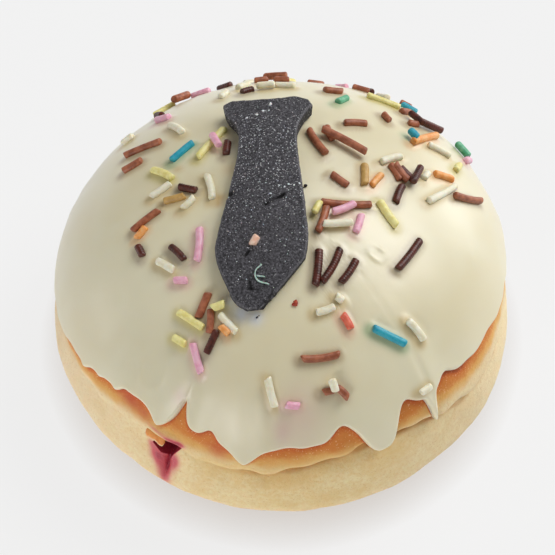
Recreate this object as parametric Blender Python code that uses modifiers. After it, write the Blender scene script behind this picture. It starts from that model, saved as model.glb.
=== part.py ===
"""A jam doughnut without a hole: a fried bun, a poured icing that runs down in
drips, sugar strands set in it, a black sugar-paste necktie on top, and the jam
that was piped in at the side.

Blender 4.5, metres, +Z up. The origin is the middle of the flat underside, and
the tie points towards -Y, the front. A bearing is an angle round the bun in
degrees: 0 at the front, positive towards +X. Sizes below are in millimetres.
"""

import math
import random

import bmesh
import bpy
import numpy as np
from mathutils import Matrix, Vector

MM = 0.001

# The bun: one lobe above the waist and one below it, parted by a crease
WAIST_RADIUS = 44.4
WAIST_Z = 16.0
TOP_Z = 48.4
BASE_RADIUS = 25.0
DOME_POWER = 2.12
HEEL_POWER = 2.25
HEEL_BULGE, HEEL_Z, HEEL_WIDTH = 2.0, 8.5, 6.0
CREASE_DEPTH, CREASE_WIDTH = 1.8, 2.0
CREASE_LINE = [  # bearing, height
    (-120, 19.4), (-60, 19.8), (-48, 20.9), (-27, 22.3), (-14, 20.7), (0, 21.9),
    (10, 23.9), (25, 25.3), (41, 23.4), (52, 20.8), (75, 19.3), (130, 20.4),
]
LEAN_AT_TOP = 1.6
LUMP = 0.22
BUN_SEGMENTS, BUN_RINGS = 84, 17
RING_SPREAD = 1.3  # above 1, the rings lie closer together near the crease

# The hole left by the piping nozzle, and the jam in it
HOLE_BEARING, HOLE_Z = -31.0, 20.3
MOUTH_RADIUS, THROAT_RADIUS, MOUTH_STRETCH = 2.5, 1.9, 1.25
PINCH_DEPTH, PINCH_WIDTH, PINCH_LOW_Z = 1.5, 2.6, 12.5
MOUTH_FLARE = 0.9
JAM_POCKET_RADIUS, JAM_POCKET_BACK, JAM_POCKET_FRONT = 6.6, -13.0, 15.0
JAM_STRETCH, JAM_NECK = 1.7, 6.0
JAM_STEPS_ALONG, JAM_STEPS_ROUND = 9, 16
JAM_FACE = 41.3  # how far from the bun's middle the jam stops
TONGUE_BEARING, TONGUE_Z = -35.5, 23.2
TONGUE_HALF_LENGTH, TONGUE_HALF_WIDTH, TONGUE_THICKNESS = 3.0, 1.7, 1.2
JAM_MIDDLE_Z = 21.3
GAP = 0.3  # left between two pieces that touch

# The icing
ICING = 1.25
ICING_GAP = 0.5
BEAD = 1.25  # thickness of the rounded edge
BEAD_TURNS = (45.0, 0.0, -90.0)  # points round that edge, from outside to inside
RIM_REACH = 3.0  # how far up from the edge the icing stays that thick
DEGREES_PER_MM = 1.68  # latitude passed by a millimetre along the crust near the edge
EDGE_LINE = [  # bearing, height of the icing's edge
    (-180, 24.6), (-140, 23.2), (-100, 22.4), (-74, 22.6), (-58, 25.6), (-44, 28.5), (-20, 28.2),
    (0, 28.6), (30, 29.5), (48, 30.3), (62, 28.4), (80, 27.4), (95, 25.6), (112, 22.6), (140, 24.0),
]
DRIPS = [  # bearing, how far it runs below the edge, half width, squareness
    (-60.0, 1.2, 1.7, 2), (-54.2, 0.6, 1.4, 2), (-48.0, 1.1, 1.5, 2), (-33.7, 2.5, 2.7, 2),
    (-10.2, 3.6, 4.1, 2), (25.0, 4.8, 5.0, 3.5), (40.9, 6.3, 1.3, 2),
]
NOTCHES = [  # bearing, how far it reaches above the edge, half width, squareness
    (-28.4, 4.5, 1.4, 1.3), (-19.6, 1.2, 1.8, 2), (15.2, 2.2, 3.4, 2), (33.0, 1.7, 2.8, 2),
    (47.0, 0.9, 2.6, 2), (65.5, 0.9, 3.0, 2),
]
EDGE_RIPPLES = ((31, 0.12), (53, 0.1))  # waves round the bun, height of each
BACK_DRIPS, BACK_FROM, BACK_TO = 8, 100.0, 262.0
FLOW_REACH, RIDGE, HOLLOW = 9.0, 0.45, 0.5
SIDE_VALLEY_BEARING, SIDE_VALLEY_DEPTH, SIDE_VALLEY_WIDTH, SIDE_VALLEY_REACH = 50.0, 0.7, 5.0, 15.0
ICING_SEGMENTS, OUTER_RINGS, INNER_RINGS = 108, 9, 8

# The necktie of sugar paste
TIE_OUTLINE = [  # right side upwards from the point, then the left side downwards
    (-3.6, -22.4), (-1.4, -20.2), (1.6, -16.8), (4.2, -13.5), (4.7, -10.0), (4.4, -5.0),
    (3.7, 2.0), (3.0, 8.5), (2.9, 14.4), (4.0, 18.0), (5.7, 21.2), (4.8, 22.9), (2.4, 23.7),
    (-1.6, 22.9), (-5.0, 22.9), (-9.2, 23.2), (-11.0, 22.0), (-10.5, 19.4), (-8.4, 15.4),
    (-8.1, 10.5), (-9.4, 2.0), (-11.7, -8.5), (-12.1, -11.6), (-9.9, -18.2), (-8.3, -21.2), (-6.4, -22.5),
]
TIE_THICKNESS = [(-23.0, 1.7), (-16.0, 2.1), (10.0, 2.7), (15.0, 3.1), (24.0, 3.1)]  # along y
TIE_BEVEL = 0.6
TIE_SLAB = 2.0  # thickness it is cut at, before it is laid
TIE_STEP = 4.0  # distance between the cuts that let it bend

# The sugar strands: for each colour, the middle in plan, the heading and the length seen from above
STRAND_THICKNESS = 1.5
STRAND_SINK = 0.3
STRAND_SIDES = 6
STRAND_SAMPLES = 8
CROSSING = 0.8  # how far apart two crossing strands lie, in thicknesses
STRANDS = {
    "milk": [
        (-27.1, 18.1, 3, 7.3), (-28.9, 13.8, 18, 3.9), (-25.7, -1.6, 32, 5.9), (-14.5, -20.5, 66, 4.6),
        (-13.3, -23.4, 86, 4.1), (7.0, -30.0, 9, 7.1), (8.5, -35.0, 15, 2.2), (10.9, -34.9, -32, 2.5),
        (10.8, 4.4, -39, 4.0), (21.4, 8.0, -63, 4.0), (22.4, 7.9, -56, 4.4), (11.9, -0.9, 2, 9.6),
        (7.4, -4.8, 73, 5.7), (35.7, 7.8, 25, 6.2), (25.6, 24.5, 17, 2.1), (24.3, 28.9, 33, 2.3),
        (15.8, 38.3, -22, 3.6), (10.1, 31.7, 2, 3.8), (14.1, 20.0, 8, 4.5), (20.3, 24.0, -62, 2.6),
        (6.7, 13.7, -63, 7.2), (9.1, 16.2, -72, 3.9), (11.6, 13.4, -32, 10.0), (-4.3, 38.4, 10, 2.6),
        (-0.1, 37.6, -10, 3.0),
    ],
    "dark": [
        (-24.4, 29.8, 130, 2.0), (-10.5, 12.8, 85, 3.5), (-17.8, 3.8, -25, 3.8), (-26.6, -7.8, -67, 2.6),
        (-19.5, -9.9, -50, 4.2), (-12.9, -26.8, 61, 4.0), (23.6, 8.3, -45, 3.3), (25.1, 7.7, 69, 4.8),
        (22.0, 2.9, 72, 4.5), (23.6, -9.8, 57, 8.0), (6.4, -14.6, 84, 7.0), (9.0, -14.0, 63, 7.5),
        (12.2, -14.9, 58, 5.5), (26.0, 25.8, -50, 3.8), (29.0, 25.5, 6, 4.5), (-6.8, 31.5, 24, 2.6),
    ],
    "cream": [
        (-20.6, 21.3, -54, 4.6), (-30.5, 24.5, 30, 2.5), (-23.0, 4.7, 31, 4.3), (-17.6, 0.5, 46, 3.1),
        (-13.7, 3.5, -79, 5.9), (-21.7, -11.9, -38, 4.1), (-9.9, -24.1, -47, 4.7), (-2.0, -35.5, -72, 4.4),
        (7.9, -22.2, 20, 3.6), (10.5, -20.1, -30, 1.6), (24.6, -23.3, -38, 3.9), (9.2, -34.0, -65, 1.9),
        (26.5, -31.6, 40, 2.6), (10.2, -5.8, 8, 5.6), (30.4, 5.8, 48, 8.4), (20.7, 11.2, 34, 4.8),
        (30.4, 18.2, -10, 4.4), (27.4, 9.1, 65, 2.2), (-7.7, 34.6, 45, 3.2), (-3.2, 32.4, 5, 3.6),
        (0.6, 33.2, -5, 4.0), (-11.6, 31.0, 60, 2.5),
    ],
    "yellow": [
        (-13.6, 14.7, 55, 8.6), (-22.8, 8.7, -42, 5.4), (-16.8, -22.7, -37, 5.9), (-11.6, -21.1, 13, 2.4),
        (-18.9, -25.7, -35, 2.9), (6.4, -2.7, 66, 2.7), (19.8, -2.1, -57, 5.9), (34.0, 15.4, 70, 2.8),
        (20.0, 31.0, -16, 6.8),
    ],
    "orange": [
        (-26.5, -4.0, 48, 2.6), (-10.5, -25.2, -45, 2.3), (17.8, 5.3, 58, 3.7), (27.7, 20.4, 48, 7.6),
        (30.9, 10.6, 6, 3.7),
    ],
    "amber": [(-20.3, 2.0, 5, 4.0), (15.5, 6.2, 89, 5.0)],
    "red": [(11.8, -24.0, -56, 2.9)],
    "pink": [
        (-23.5, 26.9, -14, 2.9), (-12.5, 14.2, -67, 3.6), (-15.6, -8.9, 87, 6.6), (-18.8, -15.3, -10, 2.6),
        (-15.7, -28.9, -72, 5.1), (1.9, -37.3, -3, 2.6), (11.3, -2.4, 29, 4.8), (14.2, -5.1, 74, 4.0),
        (36.6, 21.5, 70, 3.2),
    ],
    "blue": [(-19.1, 13.7, 43, 5.7), (19.7, -25.3, -14, 6.3), (25.0, 19.1, -52, 2.4), (25.4, 33.2, -33, 3.4)],
    "green": [(11.7, 28.0, 50, 3.0), (35.4, 24.0, -48, 3.4)],
}
# The far side, which the list above leaves bare, is strewn by a rule
FAR_STRANDS, FAR_FROM, FAR_TO, FAR_INNER, FAR_OUTER = 12, 142.0, 218.0, 42.0, 43.4
FAR_TURN = 35.0  # how far a strand may turn from lying along the rim
FAR_COLOURS = ("milk", "cream", "dark", "pink", "milk", "yellow")
SHORTEST_STRAND, LONGEST_STRAND = 2.2, 5.2
SEED = 7


def bump(bearing, centre, half_width, squareness=2.0):
    """One smooth bump round the bun, 1 at its centre."""
    away = np.abs((bearing - centre + 180.0) % 360.0 - 180.0)
    return np.exp(-((away / half_width) ** squareness))


def round_the_side(keys, bearing, soften=4.0):
    """A height round the bun: straight between its keys, then softened."""
    at, height = zip(*keys)
    offsets = np.linspace(-soften, soften, 5)
    return sum(np.interp(bearing + o, at, height, period=360.0) for o in offsets) / len(offsets)


def dome_latitude(z):
    """The latitude in degrees at which the dome is z high."""
    return np.degrees(np.arcsin(((z - WAIST_Z) / (TOP_Z - WAIST_Z)) ** (DOME_POWER / 2)))


def bun_profile(bearing, latitude, creased=True):
    """Radius and height of the bun's crust; latitude runs from -90 to 90 degrees."""
    angle = np.radians(latitude)
    across = np.clip(np.cos(angle), 0.0, 1.0)
    along = np.abs(np.sin(angle))
    upper = np.asarray(latitude) >= 0
    lower_radius = BASE_RADIUS + (WAIST_RADIUS - BASE_RADIUS) * across ** (2 / HEEL_POWER)
    radius = np.where(upper, WAIST_RADIUS * across ** (2 / DOME_POWER), lower_radius)
    rise = (TOP_Z - WAIST_Z) * along ** (2 / DOME_POWER)
    height = WAIST_Z + np.where(upper, rise, -WAIST_Z * along ** (2 / HEEL_POWER))
    turn = np.radians(bearing)
    lump = LUMP * (np.sin(3 * turn + 0.6) + np.sin(5 * turn + 2.0)) * across
    heel = HEEL_BULGE * np.exp(-(((height - HEEL_Z) / HEEL_WIDTH) ** 2))
    crease_z = round_the_side(CREASE_LINE, bearing)
    crease = creased * CREASE_DEPTH * np.exp(-(((height - crease_z) / CREASE_WIDTH) ** 2))
    return radius + lump + heel - crease, height


def place(bearing, radius, height):
    """A point of the bun in space; the dome leans a little to the right."""
    turn = np.radians(bearing)
    lean = LEAN_AT_TOP * (np.clip(height, 0.0, None) / TOP_Z) ** 2
    return np.stack([radius * np.sin(turn) + lean, -radius * np.cos(turn), height], axis=-1)


def lifted(bearing, latitude, lift):
    """A point at a distance outside the crust, along the profile's normal; the icing bridges the crease."""
    step = 0.05
    r0, z0 = bun_profile(bearing, latitude - step, creased=False)
    r1, z1 = bun_profile(bearing, np.minimum(latitude + step, 90.0), creased=False)
    length = np.hypot(r1 - r0, z1 - z0)
    radius, height = bun_profile(bearing, latitude, creased=False)
    radius = np.where(np.asarray(latitude) > 89.9, 0.0, radius + lift * (z1 - z0) / length)
    return place(bearing, radius, height - lift * (r1 - r0) / length)


def back_drips():
    """Drips round the far side, spaced by a rule and uneven by a seeded draw."""
    draw = random.Random(SEED)
    gap = (BACK_TO - BACK_FROM) / BACK_DRIPS
    return [
        (BACK_FROM + gap * (k + draw.uniform(0.25, 0.75)), draw.uniform(1.2, 4.2), draw.uniform(2.6, 4.6), 2)
        for k in range(BACK_DRIPS)
    ]


ALL_DRIPS = DRIPS + back_drips()


def icing_edge(bearing):
    """Height of the icing's lower edge."""
    turn = np.radians(bearing)
    height = round_the_side(EDGE_LINE, bearing)
    for waves, size in EDGE_RIPPLES:
        height = height + size * np.sin(waves * turn + 1.0)
    for centre, drop, half_width, squareness in ALL_DRIPS:
        height = height - drop * bump(bearing, centre, half_width, squareness)
    for centre, reach, half_width, squareness in NOTCHES:
        height = height + reach * bump(bearing, centre, half_width, squareness)
    return height


def icing_relief(bearing, above_edge):
    """Ridges that lead into the drips and hollows above the notches."""
    fade = np.exp(-((above_edge / FLOW_REACH) ** 2))
    relief = 0.0
    for centre, drop, half_width, _ in ALL_DRIPS:
        relief = relief + RIDGE * min(drop / 3.0, 1.0) * fade * bump(bearing, centre, half_width + 1.0)
    for centre, reach, half_width, _ in NOTCHES:
        relief = relief - HOLLOW * min(reach / 3.0, 1.0) * fade * bump(bearing, centre, half_width + 1.0)
    valley_fade = np.exp(-((above_edge / SIDE_VALLEY_REACH) ** 2))
    valley = SIDE_VALLEY_DEPTH * valley_fade * bump(bearing, SIDE_VALLEY_BEARING, SIDE_VALLEY_WIDTH)
    return relief - valley


def icing_point(bearing, latitude):
    """A point on the icing's outside, above its rounded edge."""
    _, height = bun_profile(bearing, latitude)
    above_edge = np.maximum(height - icing_edge(bearing), 0.0)
    thicker_rim = (ICING_GAP + BEAD - ICING) * np.exp(-above_edge / RIM_REACH)
    lift = ICING + thicker_rim + icing_relief(bearing, above_edge)
    return lifted(bearing, latitude, lift)


def icing_height(x, y):
    """Height of the icing's outside over points of the plan."""
    latitude = np.linspace(90.0, 8.0, 160)
    x, y = np.broadcast_arrays(np.asarray(x, float), np.asarray(y, float))
    height = np.empty(x.shape)
    for index in np.ndindex(x.shape):
        z = TOP_Z
        for _ in range(3):
            shifted = x[index] - LEAN_AT_TOP * (z / TOP_Z) ** 2
            bearing = math.degrees(math.atan2(shifted, -y[index]))
            points = icing_point(np.full(latitude.shape, bearing), latitude)
            lean = LEAN_AT_TOP * (points[:, 2] / TOP_Z) ** 2
            radius = np.hypot(points[:, 0] - lean, points[:, 1])
            z = np.interp(math.hypot(shifted, y[index]), radius, points[:, 2])
        height[index] = z
    return height


def icing_frame(x, y):
    """Point and outward normal of the icing over one point of the plan."""
    step = 0.5
    z, z_right, z_back = icing_height([x, x + step, x], [y, y, y + step])
    normal = Vector((-(z_right - z) / step, -(z_back - z) / step, 1.0)).normalized()
    return Vector((x, y, z)), normal


def material(name, colour, roughness):
    """A plain food material."""
    made = bpy.data.materials.new(name)
    made.use_nodes = True
    shader = made.node_tree.nodes["Principled BSDF"]
    shader.inputs["Base Color"].default_value = (*colour, 1.0)
    shader.inputs["Roughness"].default_value = roughness
    shader.inputs["Metallic"].default_value = 0.0
    return made


def add_object(name, mesh, collection, finish=None):
    """A named object from a bmesh or a mesh."""
    if isinstance(mesh, bmesh.types.BMesh):
        bmesh.ops.recalc_face_normals(mesh, faces=mesh.faces)
        data = bpy.data.meshes.new(name)
        mesh.to_mesh(data)
        mesh.free()
        mesh = data
    thing = bpy.data.objects.new(name, mesh)
    collection.objects.link(thing)
    if finish:
        thing.data.materials.append(finish)
    return thing


def mapped_sphere(segments, rings, point_of):
    """A UV sphere whose vertices are moved to point_of(bearing, ring), ring 0 at the top."""
    shape = bmesh.new()
    bmesh.ops.create_uvsphere(shape, u_segments=segments, v_segments=rings, radius=1.0)
    at = np.array([v.co[:] for v in shape.verts])
    ring = np.rint(np.degrees(np.arccos(np.clip(at[:, 2], -1, 1))) / 180.0 * rings).astype(int)
    bearing = np.degrees(np.arctan2(at[:, 0], -at[:, 1]))
    for vertex, where in zip(shape.verts, point_of(bearing, ring) * MM):
        vertex.co = where
    return shape


def bun_point(bearing, ring):
    """Ring by ring from the top of the bun to its flat underside, one ring in the crease."""
    last = BUN_RINGS - 1
    middle = last // 2
    crease = dome_latitude(round_the_side(CREASE_LINE, bearing))
    share = (middle - ring) / middle
    spread = np.abs(share) ** RING_SPREAD
    latitude = np.where(share >= 0, crease + (90.0 - crease) * spread, crease - (90.0 + crease) * spread)
    latitude = np.clip(latitude, -90.0, 90.0)
    radius, height = bun_profile(bearing, latitude)
    radius = radius - pinch(bearing, height) + tongue(bearing, height)
    points = place(bearing, np.where(ring == 0, 0.0, radius), height)
    points[ring > last] = (0.0, 0.0, 0.0)
    return points


def pinch(bearing, height):
    """The crust pulled in below the hole, where the nozzle dragged it."""
    across = bump(bearing, HOLE_BEARING, math.degrees(PINCH_WIDTH / WAIST_RADIUS))
    middle = (HOLE_Z + PINCH_LOW_Z) / 2
    along = np.exp(-(((height - middle) / (HOLE_Z - PINCH_LOW_Z)) ** 4) * 4.0)
    return PINCH_DEPTH * across * along


def tongue(bearing, height):
    """The torn flap of crust beside the hole."""
    across = bump(bearing, TONGUE_BEARING, math.degrees(TONGUE_HALF_LENGTH / WAIST_RADIUS))
    return TONGUE_THICKNESS * across * np.exp(-(((height - TONGUE_Z) / TONGUE_HALF_WIDTH) ** 2))


def jam_outline(clearance, front, front_radius):
    """Half the jam's outline: distance from the bun's middle, and radius."""
    pocket = []
    middle = (JAM_POCKET_BACK + JAM_POCKET_FRONT) / 2
    half = (JAM_POCKET_FRONT - JAM_POCKET_BACK) / 2
    for k in range(1, JAM_STEPS_ALONG):
        turn = math.pi * (1.0 - k / JAM_STEPS_ALONG)
        pocket.append((middle + half * math.cos(turn), JAM_POCKET_RADIUS * math.sin(turn)))
    neck = pocket[-1][0]
    throat = [(neck + JAM_NECK, THROAT_RADIUS)]
    ahead = [(front - JAM_NECK / 2, THROAT_RADIUS), (front, front_radius)]
    grown = [(distance, radius + clearance) for distance, radius in pocket + throat + ahead]
    return [(JAM_POCKET_BACK - clearance, 0.0), *grown, (front, 0.0)]


def jam_shape(name, clearance, front, front_radius, collection, finish=None):
    """The jam's outline turned about the line from the bun's middle to the hole."""
    points = jam_outline(clearance, front, front_radius)
    shape = bmesh.new()
    row = [shape.verts.new((radius * MM, 0.0, -distance * MM)) for distance, radius in points]
    for first, second in zip(row, row[1:]):
        shape.edges.new((first, second))
    profile = add_object(name + "_profile", shape, collection)
    screw = profile.modifiers.new("turn", "SCREW")
    screw.steps = screw.render_steps = JAM_STEPS_ROUND
    screw.use_merge_vertices = True
    screw.merge_threshold = 0.00005
    screw.use_smooth_shade = True
    bpy.context.view_layer.update()
    turned = bpy.data.meshes.new_from_object(profile.evaluated_get(bpy.context.evaluated_depsgraph_get()))
    bpy.data.objects.remove(profile)
    middle = Vector((0.0, 0.0, JAM_MIDDLE_Z))
    mouth = Vector(place(HOLE_BEARING, WAIST_RADIUS, HOLE_Z).tolist())
    forward = (mouth - middle).normalized()
    side = forward.cross(Vector((0.0, 0.0, 1.0))).normalized()
    up = side.cross(forward)
    turn = Matrix((side, up, -forward)).transposed().to_4x4()
    for vertex in turned.vertices:
        distance = -vertex.co.z / MM
        ease = min(max((distance - JAM_POCKET_FRONT) / JAM_NECK + 1.0, 0.0), 1.0)
        vertex.co.x *= JAM_STRETCH + (MOUTH_STRETCH - JAM_STRETCH) * ease
    turned.transform(Matrix.Translation(middle * MM) @ turn)
    return add_object(name, turned, collection, finish)


def make_bun(collection, cutters):
    """The fried bun, hollowed for the jam."""
    shape = mapped_sphere(BUN_SEGMENTS, BUN_RINGS, bun_point)
    bun = add_object("dough", shape, collection, material("fried_crust", (0.62, 0.36, 0.15), 0.6))
    outside = WAIST_RADIUS + JAM_NECK / 2
    cutter = jam_shape("jam_cutter", GAP, outside, MOUTH_RADIUS + MOUTH_FLARE, cutters)
    cutter.hide_render = True
    cutter.display_type = "WIRE"
    hollow = bun.modifiers.new("hollow for the jam", "BOOLEAN")
    hollow.operation = "DIFFERENCE"
    hollow.object = cutter
    return bun


def icing_ring_point(bearing, ring):
    """Ring by ring down the icing's outside, round its edge and up its inside."""
    bead_turns = np.radians(BEAD_TURNS)
    edge = dome_latitude(icing_edge(bearing))
    half = BEAD / 2
    start = edge + half * DEGREES_PER_MM
    outside = start + (90.0 - start) * np.clip((OUTER_RINGS - ring) / OUTER_RINGS, 0.0, 1.0)
    points = icing_point(bearing, np.clip(outside, 0.0, 90.0))
    for k, turn in enumerate(bead_turns):
        here = ring == OUTER_RINGS + 1 + k
        bead_latitude = edge + half * (1.0 - math.cos(turn)) * DEGREES_PER_MM
        bead = lifted(bearing, bead_latitude, ICING_GAP + half * (1.0 + math.sin(turn)))
        points[here] = bead[here]
    first_inside = OUTER_RINGS + len(bead_turns)
    rise = np.clip((ring - first_inside) / INNER_RINGS, 0.0, 1.0)
    inside = lifted(bearing, np.clip(start + (90.0 - start) * rise, 0.0, 90.0), ICING_GAP)
    within = ring > first_inside
    points[within] = inside[within]
    return points


def far_strands():
    """Strands for the far side, laid round it at even bearings with seeded unevenness."""
    draw = random.Random(SEED)
    laid = []
    for k in range(FAR_STRANDS):
        bearing = FAR_FROM + (FAR_TO - FAR_FROM) * (k + draw.uniform(0.2, 0.8)) / FAR_STRANDS
        radius = draw.uniform(FAR_INNER, FAR_OUTER)
        x, y, _ = place(bearing, radius, 0.0)
        heading = bearing + draw.uniform(-FAR_TURN, FAR_TURN)
        length = draw.uniform(SHORTEST_STRAND, LONGEST_STRAND)
        laid.append((FAR_COLOURS[k % len(FAR_COLOURS)], (x, y, heading, length)))
    return laid


def lay_strand(x, y, heading, span, laid):
    """Middle, direction and length of one strand on the icing, raised where it crosses one laid before."""
    turn = math.radians(heading)
    reach = Vector((math.cos(turn), math.sin(turn))) * span / 2
    middle, normal = icing_frame(x, y)
    xs = (x - reach.x, x + reach.x)
    ys = (y - reach.y, y + reach.y)
    first, second = (Vector((px, py, pz)) for px, py, pz in zip(xs, ys, icing_height(xs, ys)))
    along = second - first
    direction = along.normalized()
    middle = middle + normal * (STRAND_THICKNESS / 2 - STRAND_SINK)
    shares = [k / STRAND_SAMPLES - 0.5 for k in range(STRAND_SAMPLES + 1)]
    mine = [middle + along * share for share in shares]
    nearest = min(((p - q).length for p in mine for q in laid), default=STRAND_THICKNESS)
    middle = middle + normal * max(0.0, CROSSING * STRAND_THICKNESS - nearest)
    laid.extend(middle + along * share for share in shares)
    return middle, direction, along.length


def make_strands(collection):
    """All the strands as short six-sided rods."""
    listed = [(colour, strand) for colour, strands in STRANDS.items() for strand in strands]
    laid = []
    for number, (colour, strand) in enumerate(listed + far_strands()):
        middle, direction, length = lay_strand(*strand, laid)
        turn = direction.to_track_quat("Z", "Y").to_matrix().to_4x4()
        rod = bmesh.new()
        bmesh.ops.create_cone(
            rod, cap_ends=True, segments=STRAND_SIDES, depth=length * MM,
            radius1=STRAND_THICKNESS / 2 * MM, radius2=STRAND_THICKNESS / 2 * MM,
            matrix=Matrix.Translation(middle * MM) @ turn,
        )
        add_object(f"{colour}_strand_{number}", rod, collection)


def apply_modifiers(thing):
    """Replace an object's mesh by what its modifiers make of it."""
    bpy.context.view_layer.update()
    seen = thing.evaluated_get(bpy.context.evaluated_depsgraph_get())
    mesh = bpy.data.meshes.new_from_object(seen)
    thing.modifiers.clear()
    thing.data = mesh


def make_icing(collection, toppings):
    """The poured icing with its strands, joined into one solid."""
    rings = OUTER_RINGS + len(BEAD_TURNS) + INNER_RINGS + 1
    shape = mapped_sphere(ICING_SEGMENTS, rings, icing_ring_point)
    icing = add_object("icing", shape, collection, material("white_icing", (0.78, 0.72, 0.52), 0.35))
    make_strands(toppings)
    join = icing.modifiers.new("join the strands", "BOOLEAN")
    join.operation = "UNION"
    join.operand_type = "COLLECTION"
    join.collection = toppings
    apply_modifiers(icing)
    for strand in list(toppings.objects):
        bpy.data.objects.remove(strand)
    return icing


def make_tie(collection):
    """The necktie: a bevelled slab cut to its outline, then laid over the dome."""
    curve = bpy.data.curves.new("necktie_outline", "CURVE")
    curve.dimensions = "2D"
    curve.fill_mode = "BOTH"
    curve.resolution_u = 1
    curve.extrude = (TIE_SLAB / 2 - TIE_BEVEL) * MM
    curve.bevel_depth = TIE_BEVEL * MM
    curve.bevel_resolution = 1
    curve.offset = -TIE_BEVEL * MM
    spline = curve.splines.new("BEZIER")
    spline.bezier_points.add(len(TIE_OUTLINE) - 1)
    for point, (x, y) in zip(spline.bezier_points, TIE_OUTLINE):
        point.co = (x * MM, y * MM, 0.0)
        point.handle_left_type = point.handle_right_type = "AUTO"
    spline.use_cyclic_u = True
    outline = add_object("necktie_curve", curve, collection)
    bpy.context.view_layer.update()
    mesh = bpy.data.meshes.new_from_object(outline.evaluated_get(bpy.context.evaluated_depsgraph_get()))
    bpy.data.objects.remove(outline)
    slab = bmesh.new()
    slab.from_mesh(mesh)
    bmesh.ops.remove_doubles(slab, verts=slab.verts, dist=0.02 * MM)
    xs, ys = zip(*TIE_OUTLINE)
    for facing, along in ((Vector((1.0, 0.0, 0.0)), xs), (Vector((0.0, 1.0, 0.0)), ys)):
        for at in np.arange(min(along) + TIE_STEP, max(along), TIE_STEP):
            everything = slab.verts[:] + slab.edges[:] + slab.faces[:]
            where = facing * at * MM
            bmesh.ops.bisect_plane(slab, geom=everything, plane_co=where, plane_no=facing, dist=0.00001)
    bmesh.ops.triangulate(slab, faces=slab.faces)
    rows, thick = zip(*TIE_THICKNESS)
    for vertex in slab.verts:
        x, y, z = (c / MM for c in vertex.co)
        ground, normal = icing_frame(x, y)
        share = z / TIE_SLAB + 0.5
        vertex.co = (ground + normal * (GAP + share * float(np.interp(y, rows, thick)))) * MM
    return add_object("necktie", slab, collection, material("black_paste", (0.035, 0.033, 0.036), 0.7))


def shade(thing):
    """Smooth shading with sharp edges kept."""
    thing.data.shade_smooth()
    thing.data.set_sharp_from_angle(angle=math.radians(50))


def main():
    for old in list(bpy.data.objects):
        bpy.data.objects.remove(old)
    doughnut = bpy.data.collections.new("jam_doughnut")
    cutters = bpy.data.collections.new("cutters")
    toppings = bpy.data.collections.new("strands")
    for collection in (doughnut, cutters, toppings):
        bpy.context.scene.collection.children.link(collection)
    jam = material("red_jam", (0.25, 0.01, 0.02), 0.15)
    pieces = [
        make_bun(doughnut, cutters),
        jam_shape("jam", 0.0, JAM_FACE, THROAT_RADIUS + 0.1, doughnut, jam),
        make_icing(doughnut, toppings),
        make_tie(doughnut),
    ]
    for piece in pieces:
        shade(piece)
    bpy.data.collections.remove(toppings)


main()
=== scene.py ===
# %% [markdown]
# A jam doughnut with a sugar-paste necktie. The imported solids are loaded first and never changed: they give
# every piece its place and size. Each cell below then makes one piece or one finish that is laid over them.
# Lengths in this lesson are millimetres, and they become Blender's metres where a mesh is made.

# %% Load the solids
import math
import random

import bmesh
import bpy
import numpy as np
from mathutils import Matrix, Vector, noise
from mathutils.bvhtree import BVHTree
from mathutils.kdtree import KDTree


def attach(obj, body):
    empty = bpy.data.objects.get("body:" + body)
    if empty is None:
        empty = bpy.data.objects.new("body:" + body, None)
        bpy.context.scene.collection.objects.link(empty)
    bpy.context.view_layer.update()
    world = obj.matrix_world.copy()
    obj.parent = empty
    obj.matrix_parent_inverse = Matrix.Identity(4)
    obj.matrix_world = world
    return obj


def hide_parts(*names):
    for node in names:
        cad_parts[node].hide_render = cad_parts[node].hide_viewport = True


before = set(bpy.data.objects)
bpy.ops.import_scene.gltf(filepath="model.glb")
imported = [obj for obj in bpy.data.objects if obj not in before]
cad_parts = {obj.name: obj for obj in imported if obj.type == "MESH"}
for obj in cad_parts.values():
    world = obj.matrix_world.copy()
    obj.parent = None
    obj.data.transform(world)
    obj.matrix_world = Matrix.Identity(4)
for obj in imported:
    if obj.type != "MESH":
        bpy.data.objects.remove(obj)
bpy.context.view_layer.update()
MM = 0.001
scene = bpy.context.scene

# %% [markdown]
# A camera can be placed by eye, but a photograph gives it away: the round bun looks like an ellipse whose
# height and width say how far above it the camera stood. Here that is 57.5 degrees. The lens follows from
# the size of a millimetre in the picture, and a small shift puts the aim on its own pixel.

# %% Camera
PICTURE_SIDE = 555
CAMERA_ELEVATION = 57.5
CAMERA_DISTANCE = 470.0
AIM_HEIGHT = 22.0
AIM_PIXEL = (282.3, 277.0)
PIXELS_PER_MM = 5.06
SENSOR = 36.0

camera = bpy.data.objects.new("camera", bpy.data.cameras.new("camera"))
scene.collection.objects.link(camera)
scene.camera = camera
camera.data.sensor_width = SENSOR
camera.data.lens = PIXELS_PER_MM * CAMERA_DISTANCE * SENSOR / PICTURE_SIDE
camera.data.shift_x = (PICTURE_SIDE / 2 - AIM_PIXEL[0]) / PICTURE_SIDE
camera.data.shift_y = (AIM_PIXEL[1] - PICTURE_SIDE / 2) / PICTURE_SIDE
camera.data.clip_start = 0.01
tilt = math.radians(CAMERA_ELEVATION)
back_and_up = Vector((0.0, -math.cos(tilt), math.sin(tilt)))
camera.location = (Vector((0.0, 0.0, AIM_HEIGHT)) + back_and_up * CAMERA_DISTANCE) * MM
camera.rotation_euler = (math.pi / 2 - tilt, 0.0, 0.0)
print("lens", round(camera.data.lens, 1), "mm")

# %% [markdown]
# The bun is a turned shape that is nowhere quite round. Sculpting would do it, but a formula is easier to
# change and to share: a bearing round the bun and a latitude up its side give one point of the crust. The
# numbers are those of the solids, so that every finer skin below lies exactly on them.

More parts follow.
